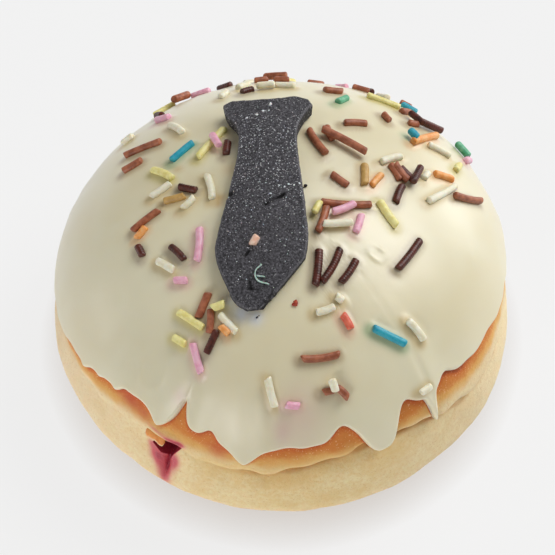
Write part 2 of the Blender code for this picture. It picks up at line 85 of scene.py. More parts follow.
# %% Form of the bun
WAIST_RADIUS = 44.4
WAIST_Z = 16.0
TOP_Z = 48.4
BASE_RADIUS = 25.0
DOME_POWER = 2.12
HEEL_POWER = 2.25
HEEL_BULGE, HEEL_Z, HEEL_WIDTH = 2.0, 8.5, 6.0
LEAN_AT_TOP = 1.6
LUMP = 0.22
LUMPS = ((3, 0.6), (5, 2.0))  # waves round the bun, start of each
DEGREES_PER_MM = 1.68  # latitude passed by a millimetre along the crust near the icing's edge
NORMAL_STEP_DEGREES = 0.05
NEARLY_TOP = 89.9  # from this latitude up a point lies on the bun's own axis


def bump(bearing, centre, half_width, squareness=2.0):
    """One smooth bump round the bun, 1 at its centre."""
    away = np.abs((bearing - centre + 180.0) % 360.0 - 180.0)
    return np.exp(-((away / half_width) ** squareness))


def round_the_side(keys, bearing, soften=4.0):
    """A value round the bun: straight between its keys, then softened."""
    at, value = zip(*keys)
    offsets = np.linspace(-soften, soften, 5)
    return sum(np.interp(bearing + o, at, value, period=360.0) for o in offsets) / len(offsets)


def dome_latitude(z):
    """The latitude in degrees at which the dome is z high."""
    return np.degrees(np.arcsin(((z - WAIST_Z) / (TOP_Z - WAIST_Z)) ** (DOME_POWER / 2)))


def bun_profile(bearing, latitude):
    """Radius and height of the bun without its crease."""
    angle = np.radians(latitude)
    across = np.clip(np.cos(angle), 0.0, 1.0)
    along = np.abs(np.sin(angle))
    upper = np.asarray(latitude) >= 0
    lower_radius = BASE_RADIUS + (WAIST_RADIUS - BASE_RADIUS) * across ** (2 / HEEL_POWER)
    radius = np.where(upper, WAIST_RADIUS * across ** (2 / DOME_POWER), lower_radius)
    rise = (TOP_Z - WAIST_Z) * along ** (2 / DOME_POWER)
    height = WAIST_Z + np.where(upper, rise, -WAIST_Z * along ** (2 / HEEL_POWER))
    turn = np.radians(bearing)
    lump = LUMP * sum(np.sin(waves * turn + start) for waves, start in LUMPS) * across
    heel = HEEL_BULGE * np.exp(-(((height - HEEL_Z) / HEEL_WIDTH) ** 2))
    return radius + lump + heel, height


def lean_at(height):
    """How far the dome leans to the right at a height."""
    return LEAN_AT_TOP * (np.clip(height, 0.0, None) / TOP_Z) ** 2


def place(bearing, radius, height):
    """A point of the bun in space."""
    turn = np.radians(bearing)
    return np.stack([radius * np.sin(turn) + lean_at(height), -radius * np.cos(turn), height], axis=-1)


def bearing_of(points):
    """The bearing of points in space."""
    return np.degrees(np.arctan2(points[..., 0] - lean_at(points[..., 2]), -points[..., 1]))


def lifted(bearing, latitude, lift):
    """A point at a distance outside the crust, along the profile's normal."""
    r0, z0 = bun_profile(bearing, latitude - NORMAL_STEP_DEGREES)
    r1, z1 = bun_profile(bearing, np.minimum(latitude + NORMAL_STEP_DEGREES, 90.0))
    length = np.hypot(r1 - r0, z1 - z0)
    radius, height = bun_profile(bearing, latitude)
    radius = np.where(np.asarray(latitude) > NEARLY_TOP, 0.0, radius + lift * (z1 - z0) / length)
    return place(bearing, radius, height - lift * (r1 - r0) / length)


def outward(points):
    """Directions that point out of the bun, near enough for small relief."""
    deep = np.where(points[..., 2] > WAIST_Z, TOP_Z - WAIST_Z, WAIST_Z)
    slope = np.stack(
        [
            (points[..., 0] - lean_at(points[..., 2])) / WAIST_RADIUS**2,
            points[..., 1] / WAIST_RADIUS**2,
            (points[..., 2] - WAIST_Z) / deep**2,
        ],
        axis=-1,
    )
    return slope / np.maximum(np.linalg.norm(slope, axis=-1, keepdims=True), 1e-9)


print("bun", 2 * WAIST_RADIUS, "mm wide and", TOP_Z, "mm high under its icing")

# %% [markdown]
# Skins of grid points are the base of most pieces: rows run from one pole to the other, columns go round.
# More columns are spent where the eye goes, such as the drips at the front, and fewer behind. Uneven natural
# surfaces come from Blender's own noise, which always gives the same value at the same place.

# %% Skins and noise


def columns(stretches):
    """Bearings round the bun from stretches of (start, end, step)."""
    return np.concatenate([np.arange(start, end - step / 2, step) for start, end, step in stretches])


def add_piece(name, mesh):
    """A shown, smooth piece that is part of the doughnut."""
    mesh.shade_smooth()
    piece = bpy.data.objects.new(name, mesh)
    scene.collection.objects.link(piece)
    return piece


def skin(name, points):
    """A closed mesh from a grid of points: the first and last row are poles, and the columns go round."""
    rows, count = points.shape[:2]
    middle = points[1:-1].reshape(-1, 3)
    vertices = np.vstack([points[0, :1], middle, points[-1, :1]]) * MM
    column = np.arange(count)
    after = (column + 1) % count
    upper = 1 + np.arange(rows - 3)[:, None] * count
    quads = np.stack([upper + column, upper + count + column, upper + count + after, upper + after], axis=-1)
    last = len(vertices) - 1
    low_row = last - count
    top_fan = [(0, 1 + a, 1 + b) for a, b in zip(column.tolist(), after.tolist())]
    low_fan = [(last, low_row + b, low_row + a) for a, b in zip(column.tolist(), after.tolist())]
    mesh = bpy.data.meshes.new(name)
    mesh.from_pydata(vertices.tolist(), [], quads.reshape(-1, 4).tolist() + top_fan + low_fan)
    return mesh


def positions(mesh):
    """The vertices of a mesh in millimetres."""
    flat = np.empty(len(mesh.vertices) * 3)
    mesh.vertices.foreach_get("co", flat)
    return flat.reshape(-1, 3) / MM


def move_to(mesh, points):
    """Moves the vertices of a mesh to points in millimetres."""
    mesh.vertices.foreach_set("co", (points * MM).ravel())
    mesh.update()


def mark(mesh, name, values):
    """Stores one number for each vertex, for the mesh's finish to read."""
    mesh.attributes.new(name, "FLOAT", "POINT").data.foreach_set("value", np.asarray(values, float).ravel())


def mark_colour(mesh, name, colours):
    """Stores one colour for each vertex."""
    with_alpha = np.concatenate([colours, np.ones((len(colours), 1))], axis=1)
    mesh.attributes.new(name, "FLOAT_COLOR", "POINT").data.foreach_set("color", with_alpha.ravel())


def unevenness(points, size, seed=0.0, octaves=3):
    """Noise from about -1 to 1 at points in millimetres, with lumps of a size."""
    flat = points.reshape(-1, 3) / size + seed
    values = [noise.fractal(Vector(p), 1.0, 2.0, octaves) for p in flat.tolist()]
    return np.array(values).reshape(points.shape[:-1])


print("noise at the middle of the bun", round(float(unevenness(np.zeros((1, 3)), 5.0, 0.37)[0]), 3))

# %% [markdown]
# A finish is a small program of shader nodes. Written as node calls it is hard to read, so a value from a
# socket is wrapped in a class whose operators add the Math nodes: 1 - mask then works as it does on paper.
# Every other node comes from one method that takes its type, its settings and its sockets. Most looks are
# one colour laid over another where something is the case, so a list of such layers has a method too.

# %% Finishes as expressions


class Value:
    """A number or colour inside a finish."""

    def __init__(self, finish, socket):
        self.finish = finish
        self.socket = socket

    def maths(self, operation, *values):
        return self.finish.node("ShaderNodeMath", {"operation": operation}, dict(enumerate(values)))

    def __add__(self, other):
        return self.maths("ADD", self, other)

    def __sub__(self, other):
        return self.maths("SUBTRACT", self, other)

    def __rsub__(self, other):
        return self.maths("SUBTRACT", other, self)

    def __mul__(self, other):
        return self.maths("MULTIPLY", self, other)

    __radd__ = __add__
    __rmul__ = __mul__

    def between(self, low, high):
        """0 up to low and 1 from high on, smooth between."""
        sockets = {"Value": self, "From Min": low, "From Max": high}
        return self.finish.node("ShaderNodeMapRange", {"interpolation_type": "SMOOTHSTEP"}, sockets)


class Finish:
    """One material: constants go on the shader's sockets, and what varies is fed to them."""

    def __init__(self, name, **constants):
        self.material = bpy.data.materials.new(name)
        self.material.use_nodes = True
        self.tree = self.material.node_tree
        self.shader = self.tree.nodes["Principled BSDF"]
        for socket, value in constants.items():
            self.shader.inputs[socket.replace("_", " ")].default_value = value

    def node(self, kind, settings=None, sockets=None, output=0):
        """Adds a node: its settings first, then the values or links of its sockets."""
        made = self.tree.nodes.new(kind)
        for name, setting in (settings or {}).items():
            setattr(made, name, setting)
        for name, value in (sockets or {}).items():
            self.join(value, made.inputs[name])
        return Value(self, made.outputs[output])

    def join(self, value, socket):
        if isinstance(value, Value):
            self.tree.links.new(value.socket, socket)
        else:
            socket.default_value = value

    def feed(self, name, value):
        self.join(value, self.shader.inputs[name])

    def stored(self, name, output="Fac"):
        """A number or colour that the mesh holds for each vertex."""
        return self.node("ShaderNodeAttribute", {"attribute_name": name}, output=output)

    def place(self):
        return self.node("ShaderNodeTexCoord", output="Object")

    def clouds(self, size, detail=3.0, rough=0.55):
        """Soft noise from 0 to 1 with lumps of a size in millimetres."""
        sockets = {"Vector": self.place(), "Scale": 1 / (size * MM), "Detail": detail, "Roughness": rough}
        return self.node("ShaderNodeTexNoise", {}, sockets)

    def specks(self, spacing):
        """Distance to the nearest of scattered points, in spacings."""
        return self.node("ShaderNodeTexVoronoi", {}, {"Vector": self.place(), "Scale": 1 / (spacing * MM)})

    def mix(self, share, first, second):
        """A colour between two others."""
        settings = {"data_type": "RGBA", "clamp_factor": True}
        return self.node("ShaderNodeMix", settings, {0: share, 6: first, 7: second}, 2)

    def layered(self, colour, layers):
        """A colour with others laid over it, each where its share says."""
        for share, over in layers:
            colour = self.mix(share, colour, picture(*over))
        return colour

    def relief(self, height, depth):
        """Fine relief, of a depth in millimetres."""
        sockets = {"Height": height, "Distance": depth * MM, "Strength": 1.0}
        self.feed("Normal", self.node("ShaderNodeBump", {}, sockets))


def picture(red, green, blue):
    """A colour as a picture shows it, from 0 to 255, in the linear light that shaders use."""
    channels = [c / 255 for c in (red, green, blue)]
    return (*[c / 12.92 if c <= 0.04045 else ((c + 0.055) / 1.055) ** 2.4 for c in channels], 1.0)


print("a mid grey of the picture is", round(picture(128, 128, 128)[0], 3), "in linear light")

# %% [markdown]
# The crust rose in the fat as two lobes and folded between them. The fold is a crease whose upper lip hangs
# over it at the front right and is only a faint line at the left, so its depth is a value round the side.

# %% Crease round the side
CREASE_LINE = [  # bearing, height
    (-120, 19.4), (-60, 19.8), (-48, 20.9), (-27, 22.3), (-14, 20.7), (0, 21.9),
    (10, 23.9), (25, 25.3), (41, 23.4), (52, 20.8), (75, 19.3), (130, 20.4),
]
CREASE_DEPTHS = [  # bearing, depth
    (-120, 1.4), (-70, 0.6), (-50, 0.15), (-22, 0.15), (-12, 0.9), (0, 1.6), (12, 2.0),
    (30, 2.0), (42, 1.5), (55, 0.9), (75, 0.9), (130, 1.6), (200, 1.8),
]
LIP, SHOULDER = 0.8, 2.4  # how far the fold reaches above and below its line
SHOULDER_POWER = 1.3
OVERHANG = 0.42
CREASE_WAVER = 0.35
CREASE_WAVES = ((23, 0.0), (37, 1.0))  # waves round the bun, start of each


def folded(bearing, radius, height):
    """Draws the crust in along the crease and lets the upper lip hang over it."""
    turn = np.radians(bearing)
    waver = CREASE_WAVER * sum(np.sin(turn * waves + start) for waves, start in CREASE_WAVES)
    above = height - round_the_side(CREASE_LINE, bearing) - waver
    depth = round_the_side(CREASE_DEPTHS, bearing)
    reach = np.where(above > 0, (above / LIP) ** 2, (np.abs(above) / SHOULDER) ** SHOULDER_POWER)
    hanging = OVERHANG * depth * np.exp(-(((above - LIP / 2) / LIP) ** 2))
    return radius - depth * np.exp(-reach), height - hanging


print("the crease is up to", max(depth for _, depth in CREASE_DEPTHS), "mm deep")

# %% [markdown]
# The nozzle that piped the jam tore a hole at the front left and dragged the crust in below it. The pinched
# line, the two swollen lips beside it and the low brow above the hole are moved in the crust's own grid,
# which is finer there. The hole itself is cut by a Boolean, because no grid bends into a cavity cleanly.

# %% Pinched crust below the jam hole
HOLE_BEARING, HOLE_Z = -31.6, 20.0
PINCH_LOW, PINCH_HIGH = -10.5, -4.5  # above the hole's middle: where the pinch starts and is full
PINCH_AT = 0.8  # right of the hole's middle
PINCH_START_POWER = 1.5
PINCH_FADE_FROM, PINCH_FADE = -3.5, 6.0  # above the hole's middle, and square millimetres
PINCH_LINE, PINCH_LINE_WIDTH = 1.3, 0.5
PINCH_HOLLOW, PINCH_HOLLOW_WIDTH = 1.0, 2.8
PINCH_LIP, PINCH_LIP_AT, PINCH_LIP_WIDTH = 0.55, 1.7, 0.9
BROW, BROW_AT, BROW_HALF_HEIGHT, BROW_HALF_WIDTH = 0.6, 3.9, 1.0, 3.5


def beside_hole(bearing, height):
    """Millimetres to the right of the jam hole's middle, and above it."""
    away = (bearing - HOLE_BEARING + 180.0) % 360.0 - 180.0
    return np.radians(away) * WAIST_RADIUS, height - HOLE_Z


def dragged(bearing, height):
    """How far the crust is pulled in, or with a minus pushed out, round the jam hole."""
    right, up = beside_hole(bearing, height)
    rise = np.clip((up - PINCH_LOW) / (PINCH_HIGH - PINCH_LOW), 0.0, 1.0)
    faded = np.exp(-(np.clip(up - PINCH_FADE_FROM, 0.0, None) ** 2) / PINCH_FADE)
    length = np.sin(rise * math.pi / 2) ** PINCH_START_POWER * faded
    beside = np.abs(right - PINCH_AT)
    line = PINCH_LINE * np.exp(-beside / PINCH_LINE_WIDTH)
    hollow = PINCH_HOLLOW * np.exp(-((beside / PINCH_HOLLOW_WIDTH) ** 2))
    lips = PINCH_LIP * np.exp(-(((beside - PINCH_LIP_AT) / PINCH_LIP_WIDTH) ** 2))
    brow = BROW * np.exp(-((right / BROW_HALF_WIDTH) ** 2) - ((up - BROW_AT) / BROW_HALF_HEIGHT) ** 2)
    return length * (line + hollow - lips) - brow


print("the pinch runs from", HOLE_Z + PINCH_LOW, "to", HOLE_Z, "mm high")

# %% [markdown]
# The jam fills a pocket in the middle of the bun and a narrow way out to the hole. Both the cavity that is
# cut and the jam that fills it are lofts of rings along one line, so one function makes them. The mouth is
# wide at its top and runs down to a point, because the crust tore there.

# %% Lofts along the jam's line
JAM_MIDDLE_Z = 21.3
JAM_POCKET_RADIUS, JAM_POCKET_BACK, JAM_POCKET_FRONT = 6.6, -13.0, 15.0
JAM_STRETCH = 1.7  # how much wider than high the pocket is
POCKET_TURNS = np.radians(np.arange(165.0, 25.0, -15.0))
THROAT_RADIUS = 2.0
THROAT_FROM, THROAT_TO = 20.0, 36.0  # along the line
TORN_FROM, TORN_LENGTH = 38.0, 5.0  # where the round throat turns into the torn mouth
CUTTER_END = 50.0
JAM_FACE = 41.3
MOUTH_CORNERS = np.array([  # left of the hole's middle, above it
    (-3.9, 2.7), (-2.0, 3.2), (0.4, 2.9), (1.9, 1.2), (2.4, -0.2),
    (0.9, -1.3), (-0.4, -3.2), (-0.8, -4.6), (-1.5, -2.8), (-2.5, 0.2),
])
GAP = 0.3
RING_POINTS = 64

line_start = np.array([0.0, 0.0, JAM_MIDDLE_Z])
line_end = place(HOLE_BEARING, WAIST_RADIUS, HOLE_Z)
line_forward = (line_end - line_start) / np.linalg.norm(line_end - line_start)
line_side = np.cross(line_forward, (0.0, 0.0, 1.0))
line_side = line_side / np.linalg.norm(line_side)
line_up = np.cross(line_side, line_forward)
mouth_turn = np.arctan2(*(MOUTH_CORNERS - MOUTH_CORNERS.mean(axis=0)).T[::-1])


def ring(distance, half_width, half_height, torn):
    """One ring of a loft; torn is 0 for an ellipse and 1 for the outline of the mouth."""
    turn = np.linspace(0.0, 2 * math.pi, RING_POINTS, endpoint=False)
    mouth_left, mouth_up = [np.interp(turn, mouth_turn, way, period=2 * math.pi) for way in MOUTH_CORNERS.T]
    wide = half_width * (np.cos(turn) * (1 - torn) + mouth_left / THROAT_RADIUS * torn)
    tall = half_height * (np.sin(turn) * (1 - torn) + mouth_up / THROAT_RADIUS * torn)
    along = line_start + line_forward * distance
    return along + wide[:, None] * line_side + tall[:, None] * line_up


def loft(name, stations):
    """A closed mesh through rings; the first and last station are points."""
    return skin(name, np.array([ring(*station) for station in stations]))


def pocket_stations(clearance):
    """The fat middle of the jam."""
    middle = (JAM_POCKET_BACK + JAM_POCKET_FRONT) / 2
    half = (JAM_POCKET_FRONT - JAM_POCKET_BACK) / 2 + clearance
    stations = [(middle - half, 0.0, 0.0, 0.0)]
    for turn in POCKET_TURNS:
        tall = (JAM_POCKET_RADIUS + clearance) * math.sin(turn)
        stations.append((middle + half * math.cos(turn), tall * JAM_STRETCH, tall, 0.0))
    return stations


def way_out(torn, clearance):
    """The sizes of a ring between the round throat and the torn mouth."""
    return THROAT_RADIUS + clearance, THROAT_RADIUS + clearance, torn


def torn_at(distance):
    """How torn the way out is at a distance along the line."""
    return min(max((distance - TORN_FROM) / TORN_LENGTH, 0.0), 1.0)


def cavity_stations():
    """The pocket, the throat and the torn mouth, run on to well outside the crust."""
    stations = pocket_stations(GAP)
    stations += [(distance, *way_out(0.0, GAP)) for distance in (THROAT_FROM, THROAT_TO)]
    for distance in np.arange(TORN_FROM, CUTTER_END, 1.0):
        stations.append((distance, *way_out(torn_at(distance), 0.0)))
    return stations + [(CUTTER_END, 0.0, 0.0, 0.0)]


cavity = bpy.data.objects.new("jam_cavity", loft("jam_cavity", cavity_stations()))
cavity_faces = [p.vertices[:] for p in cavity.data.polygons]
cavity_search = BVHTree.FromPolygons(positions(cavity.data).tolist(), cavity_faces)
print("the mouth is", np.ptp(MOUTH_CORNERS, axis=0), "mm")

# %% [markdown]
# Now the bun. Its rows start at the crease and spread from there, so the fold is sharp without spending
# points on the top, which the icing hides. The relief of the crust comes before the cut, so that the torn
# hole's own walls stay as the loft has them.

# %% The bun
BUN_COLUMNS = [(-70, -42, 0.6), (-42, -22, 0.22), (-22, 85, 0.6), (85, 290, 1.1)]
BUN_ROWS_ABOVE, BUN_ROWS_BELOW = 70, 100
SPREAD_ABOVE, SPREAD_BELOW = 2.0, 1.5
CRUST_LUMPS = ((14.0, 0.35, 3.1), (4.5, 0.12, 8.2), (1.3, 0.035, 5.7))  # size, height, seed
SMOOTH_BELOW = 3.0  # the lumps fade out below this height, so that the bun stands flat


def bun_grid():
    """The crust's points, row by row from the top to the middle of the flat underside."""
    bearing = columns(BUN_COLUMNS)[None, :]
    crease = dome_latitude(round_the_side(CREASE_LINE, bearing))
    above = np.linspace(1.0, 0.0, BUN_ROWS_ABOVE, endpoint=False)[:, None] ** SPREAD_ABOVE
    below = np.linspace(0.0, 1.0, BUN_ROWS_BELOW)[:, None] ** SPREAD_BELOW
    latitude = np.vstack([crease + (90.0 - crease) * above, crease - (90.0 + crease) * below])
    bearing = np.broadcast_to(bearing, latitude.shape)
    radius, height = bun_profile(bearing, latitude)
    radius, height = folded(bearing, radius, height)
    points = place(bearing, np.clip(radius - dragged(bearing, height), 0.0, None), height)
    free = np.clip(points[..., 2:] / SMOOTH_BELOW, 0.0, 1.0)
    for size, tall, seed in CRUST_LUMPS:
        points = points + outward(points) * (tall * unevenness(points, size, seed))[..., None] * free
    points[0] = points[0].mean(axis=0)
    points[-1, :, 2] = 0.0
    return np.concatenate([points, np.zeros((1, points.shape[1], 3))])


def cut(piece, cutter):
    """Takes a closed shape out of a piece."""
    scene.collection.objects.link(cutter)
    difference = piece.modifiers.new("cut", "BOOLEAN")
    difference.operation = "DIFFERENCE"
    difference.solver = "MANIFOLD"
    difference.object = cutter
    bpy.context.view_layer.update()
    seen = piece.evaluated_get(bpy.context.evaluated_depsgraph_get())
    mesh = bpy.data.meshes.new_from_object(seen)
    piece.modifiers.clear()
    mesh.materials.clear()
    piece.data = mesh
    bpy.data.objects.remove(cutter)


bun = add_piece("bun", skin("bun", bun_grid()))
whole = len(bun.data.vertices)
cut(bun, cavity)
print("bun", len(bun.data.polygons), "faces;", len(bun.data.vertices) - whole, "vertices more for the hole")

# %% [markdown]
# The icing was poured warm and stopped where it cooled. Its edge is a height round the bun with a bump down
# for each drip and up for each notch. Those at the front are read from the photograph; those behind, which
# it doesn't show, are spaced by a rule with a seeded draw.

# %% Edge of the icing
EDGE_LINE = [  # bearing, height of the icing's edge
    (-180, 24.6), (-140, 23.2), (-100, 22.4), (-74, 22.6), (-58, 25.6), (-44, 28.5), (-20, 28.2),
    (0, 28.6), (30, 29.5), (48, 30.3), (62, 28.4), (80, 27.4), (95, 25.6), (112, 22.6), (140, 24.0),
]
DRIPS = [  # bearing, how far it runs below the edge, half width, squareness
    (-60.0, 1.2, 1.7, 2), (-54.2, 0.6, 1.4, 2), (-48.0, 1.1, 1.5, 2), (-33.7, 2.5, 2.7, 2),
    (-10.2, 3.6, 4.1, 2), (25.0, 4.8, 5.0, 3.5), (40.9, 6.3, 1.3, 2),
]
NOTCHES = [  # bearing, how far it reaches above the edge, half width, squareness
    (-28.4, 4.5, 1.4, 1.3), (-19.6, 1.2, 1.8, 2), (15.2, 2.2, 3.4, 2), (33.0, 1.7, 2.8, 2),
    (47.0, 0.9, 2.6, 2), (65.5, 0.9, 3.0, 2),
]
EDGE_RIPPLES = ((31, 0.12), (53, 0.1))  # waves round the bun, height of each
RIPPLE_START = 1.0
BACK_DRIPS, BACK_FROM, BACK_TO = 8, 100.0, 262.0
BACK_SHIFT, BACK_DROP, BACK_HALF_WIDTH = (0.25, 0.75), (1.2, 4.2), (2.6, 4.6)  # least and most
SEED = 7


def back_drips():
    """Drips round the far side, spaced by a rule and uneven by a seeded draw."""
    draw = random.Random(SEED)
    gap = (BACK_TO - BACK_FROM) / BACK_DRIPS
    drips = []
    for k in range(BACK_DRIPS):
        bearing = BACK_FROM + gap * (k + draw.uniform(*BACK_SHIFT))
        drips.append((bearing, draw.uniform(*BACK_DROP), draw.uniform(*BACK_HALF_WIDTH), 2))
    return drips


ALL_DRIPS = DRIPS + back_drips()


def icing_edge(bearing):
    """Height of the icing's lower edge."""
    turn = np.radians(bearing)
    height = round_the_side(EDGE_LINE, bearing)
    for waves, size in EDGE_RIPPLES:
        height = height + size * np.sin(waves * turn + RIPPLE_START)
    for centre, drop, half_width, squareness in ALL_DRIPS:
        height = height - drop * bump(bearing, centre, half_width, squareness)
    for centre, reach, half_width, squareness in NOTCHES:
        height = height + reach * bump(bearing, centre, half_width, squareness)
    return height


print(len(ALL_DRIPS), "drips and", len(NOTCHES), "notches")

# %% [markdown]
# Poured icing is thick in the middle and rolls over to nothing at its edge, like a drop on a plate. So its
# thickness depends on the true distance to the edge, sideways as well as downwards, which rounds the thin
# drips too. A search tree of points along the edge gives that distance quickly.

# %% Thickness of the icing
ICING = 1.25
RIM_EXTRA, RIM_REACH = 0.3, 3.0
ROLL = 1.0
SINK = -0.15
FLOW_REACH, RIDGE, HOLLOW = 9.0, 0.45, 0.5
RIDGE_EXTRA, HOLLOW_EXTRA = 2.6, 2.0  # how much wider than its drip or notch each is, to either side
FULL_RELIEF_AT = 3.0  # a drip or notch this long has the whole ridge or hollow
FOLDS = [(50.0, -0.3, 8.0, 9.0)]  # bearing, height, half width, reach
EDGE_RADIUS = 43.0
EDGE_SAMPLES = (-200.0, 320.0, 0.05)  # bearings: from, to, step
WAVES_FULL_AT = 4.0  # above the edge
ICING_WAVES = ((20.0, 0.15, 2.4), (7.0, 0.05, 6.6))  # size, height, seed
POURING_MARKS = [  # x, y, radius, width, height: rings and dimples left by bubbles
    (17.8, -10.7, 1.3, 0.45, 0.16), (-31.8, 0.3, 0.0, 0.9, -0.14), (-30.2, -15.5, 0.0, 0.9, -0.12),
    (-24.0, -29.0, 2.4, 0.8, 0.1), (21.0, -14.0, 0.0, 2.2, -0.12),
]


def on_the_edge(bearing, latitude):
    """Flat coordinates near the edge, in millimetres."""
    return np.radians(bearing) * EDGE_RADIUS, latitude / DEGREES_PER_MM


def edge_tree():
    """A search tree of points along the icing's edge."""
    samples = np.arange(*EDGE_SAMPLES)
    right, up = on_the_edge(samples, dome_latitude(icing_edge(samples)))
    tree = KDTree(len(samples))
    for index, point in enumerate(zip(right.tolist(), up.tolist())):
        tree.insert((*point, 0.0), index)
    tree.balance()
    return tree


def flow_relief(bearing, radius, above_edge):
    """Ridges that lead into the drips and hollows above the notches; they widen towards the middle."""
    fade = np.exp(-((above_edge / FLOW_REACH) ** 2))
    spread = WAIST_RADIUS / np.maximum(radius, 1.0)
    relief = 0.0
    for centre, drop, half_width, _ in ALL_DRIPS:
        wide = (half_width + RIDGE_EXTRA) * spread
        relief = relief + RIDGE * min(drop / FULL_RELIEF_AT, 1.0) * fade * bump(bearing, centre, wide)
    for centre, reach, half_width, _ in NOTCHES:
        wide = (half_width + HOLLOW_EXTRA) * spread
        relief = relief - HOLLOW * min(reach / FULL_RELIEF_AT, 1.0) * fade * bump(bearing, centre, wide)
    for centre, height, half_width, reach in FOLDS:
        along = np.exp(-((above_edge / reach) ** 2))
        relief = relief + height * along * bump(bearing, centre, half_width * spread)
    return relief


def roll_over(distance):
    """0 at the edge and 1 inside it, along a quarter circle."""
    return np.sqrt(1.0 - (1.0 - np.clip(distance / ROLL, 0.0, 1.0)) ** 2)


print("the icing is", ICING, "mm thick and", ICING + RIM_EXTRA, "mm at its rim")

# %% [markdown]
# The coat is one closed skin: its outside runs down from the top to the edge and its inside back up. The
# first rows at the edge follow the quarter circle of its roll.

# %% The poured coat
ICING_COLUMNS = [
    (-65, -31.5, 0.4), (-31.5, -23.5, 0.14), (-23.5, 27, 0.35),
    (27, 43, 0.14), (43, 85, 0.4), (85, 295, 0.75),
]
ROLL_ROWS, OUTER_ROWS, INNER_ROWS = 9, 70, 14
OUTER_SPREAD = 1.25
SEARCH_WITHIN = 8.0  # farther from the edge the straight distance will do


def coat_grid():
    """Bearing and latitude of the outside's points, from the top down to the edge."""
    bearing = columns(ICING_COLUMNS)[None, :]
    edge = dome_latitude(icing_edge(bearing))
    rolled = ROLL * (1.0 - np.cos(np.linspace(math.pi / 2, 0.0, ROLL_ROWS)))[:, None] * DEGREES_PER_MM
    start = edge + ROLL * DEGREES_PER_MM
    down = np.linspace(1.0, 0.0, OUTER_ROWS, endpoint=False)[:, None] ** OUTER_SPREAD
    latitude = np.vstack([start + (90.0 - start) * down, edge + rolled])
    return np.broadcast_to(bearing, latitude.shape), latitude, np.broadcast_to(edge, latitude.shape)


def distance_to_edge(bearing, latitude, edge):
    """Millimetres from the icing's edge, measured over the crust."""
    right, up = on_the_edge(bearing, latitude)
    straight = (latitude - edge) / DEGREES_PER_MM
    tree = edge_tree()
    distance = straight.copy()
    for index in np.argwhere(straight < SEARCH_WITHIN):
        at = tuple(index)
        distance[at] = tree.find((right[at], up[at], 0.0))[2]
    distance[straight < 1e-6] = 0.0
    return distance


def pouring_marks(points):
    """Rings and dimples in the icing."""
    relief = np.zeros(points.shape[:-1])
    for x, y, radius, width, height in POURING_MARKS:
        away = np.hypot(points[..., 0] - x, points[..., 1] - y)
        relief += height * np.exp(-(((away - radius) / width) ** 2))
    return relief


coat_bearing, coat_latitude, coat_edge = coat_grid()
coat_distance = distance_to_edge(coat_bearing, coat_latitude, coat_edge)


def full_thickness(bearing, latitude):
    """Thickness of the icing where it hasn't begun to roll over."""
    radius, height = bun_profile(bearing, latitude)
    above_edge = np.maximum(height - icing_edge(bearing), 0.0)
    full = ICING + RIM_EXTRA * np.exp(-above_edge / RIM_REACH) + flow_relief(bearing, radius, above_edge)
    outside = lifted(bearing, latitude, ICING)
    waves = sum(tall * unevenness(outside, size, seed, 2) for size, tall, seed in ICING_WAVES)
    fade = np.clip(above_edge / WAVES_FULL_AT, 0.0, 1.0)
    return full + fade * (waves + pouring_marks(outside))


def coat_skin(name, outside):
    """The closed coat, from its outside."""
    share = np.linspace(0.0, 1.0, INNER_ROWS + 1)[1:, None] ** 2
    latitude = coat_edge[:1] + (90.0 - coat_edge[:1]) * share
    inside = lifted(np.broadcast_to(coat_bearing[:1], latitude.shape), latitude, SINK)
    points = np.concatenate([outside, inside])
    points[0] = points[0].mean(axis=0)
    points[-1] = points[-1].mean(axis=0)
    return skin(name, points)


print("coat of", coat_bearing.shape[0], "rows and", coat_bearing.shape[1], "columns")

# %% [markdown]
# To lay something on the coat, a ray is dropped on it from above. It falls on a copy of the coat that runs
# on below the edge, so that a strand that reaches over a notch still finds ground. Three rays close together
# also give the direction in which the surface faces there.

# %% Finding the ground
RAY_START = 80.0
NORMAL_STEP = 0.5
GROUND_COLUMNS = [(-180, 180, 0.8)]
GROUND_LOWEST, GROUND_STEP = 8.0, 0.8


def ground_search():
    """A search tree of the coat as if it had no edge."""
    latitude, bearing = np.meshgrid(
        np.arange(90.0, GROUND_LOWEST, -GROUND_STEP), columns(GROUND_COLUMNS), indexing="ij"
    )
    points = lifted(bearing, latitude, full_thickness(bearing, latitude))
    points = np.concatenate([points, np.zeros((1, points.shape[1], 3))])
    mesh = skin("ground", points)
    return BVHTree.FromPolygons(positions(mesh).tolist(), [p.vertices[:] for p in mesh.polygons])


ground_tree = ground_search()


def ground_height(x, y):
    """Height of the coat's outside over one point of the plan."""
    hit = ground_tree.ray_cast(Vector((x, y, RAY_START)), Vector((0.0, 0.0, -1.0)))[0]
    return hit.z if hit else 0.0


def ground(x, y):
    """Point and outward direction of the coat over one point of the plan."""
    z = ground_height(x, y)
    right = (ground_height(x + NORMAL_STEP, y) - z) / NORMAL_STEP
    back = (ground_height(x, y + NORMAL_STEP) - z) / NORMAL_STEP
    return Vector((x, y, z)), Vector((-right, -back, 1.0)).normalized()


print("the coat is", round(ground_height(0.0, 0.0), 2), "mm high in the middle")

# %% [markdown]
# Sugar strands are extruded, dried and broken: rods 1.5 mm thick with blunt ends, a little bent, some with
# fine rings from drying. Scattering them by chance would not give the picture's groups and crossings, so
# each has its place. The far side, which the photograph hides, is strewn by a seeded rule.

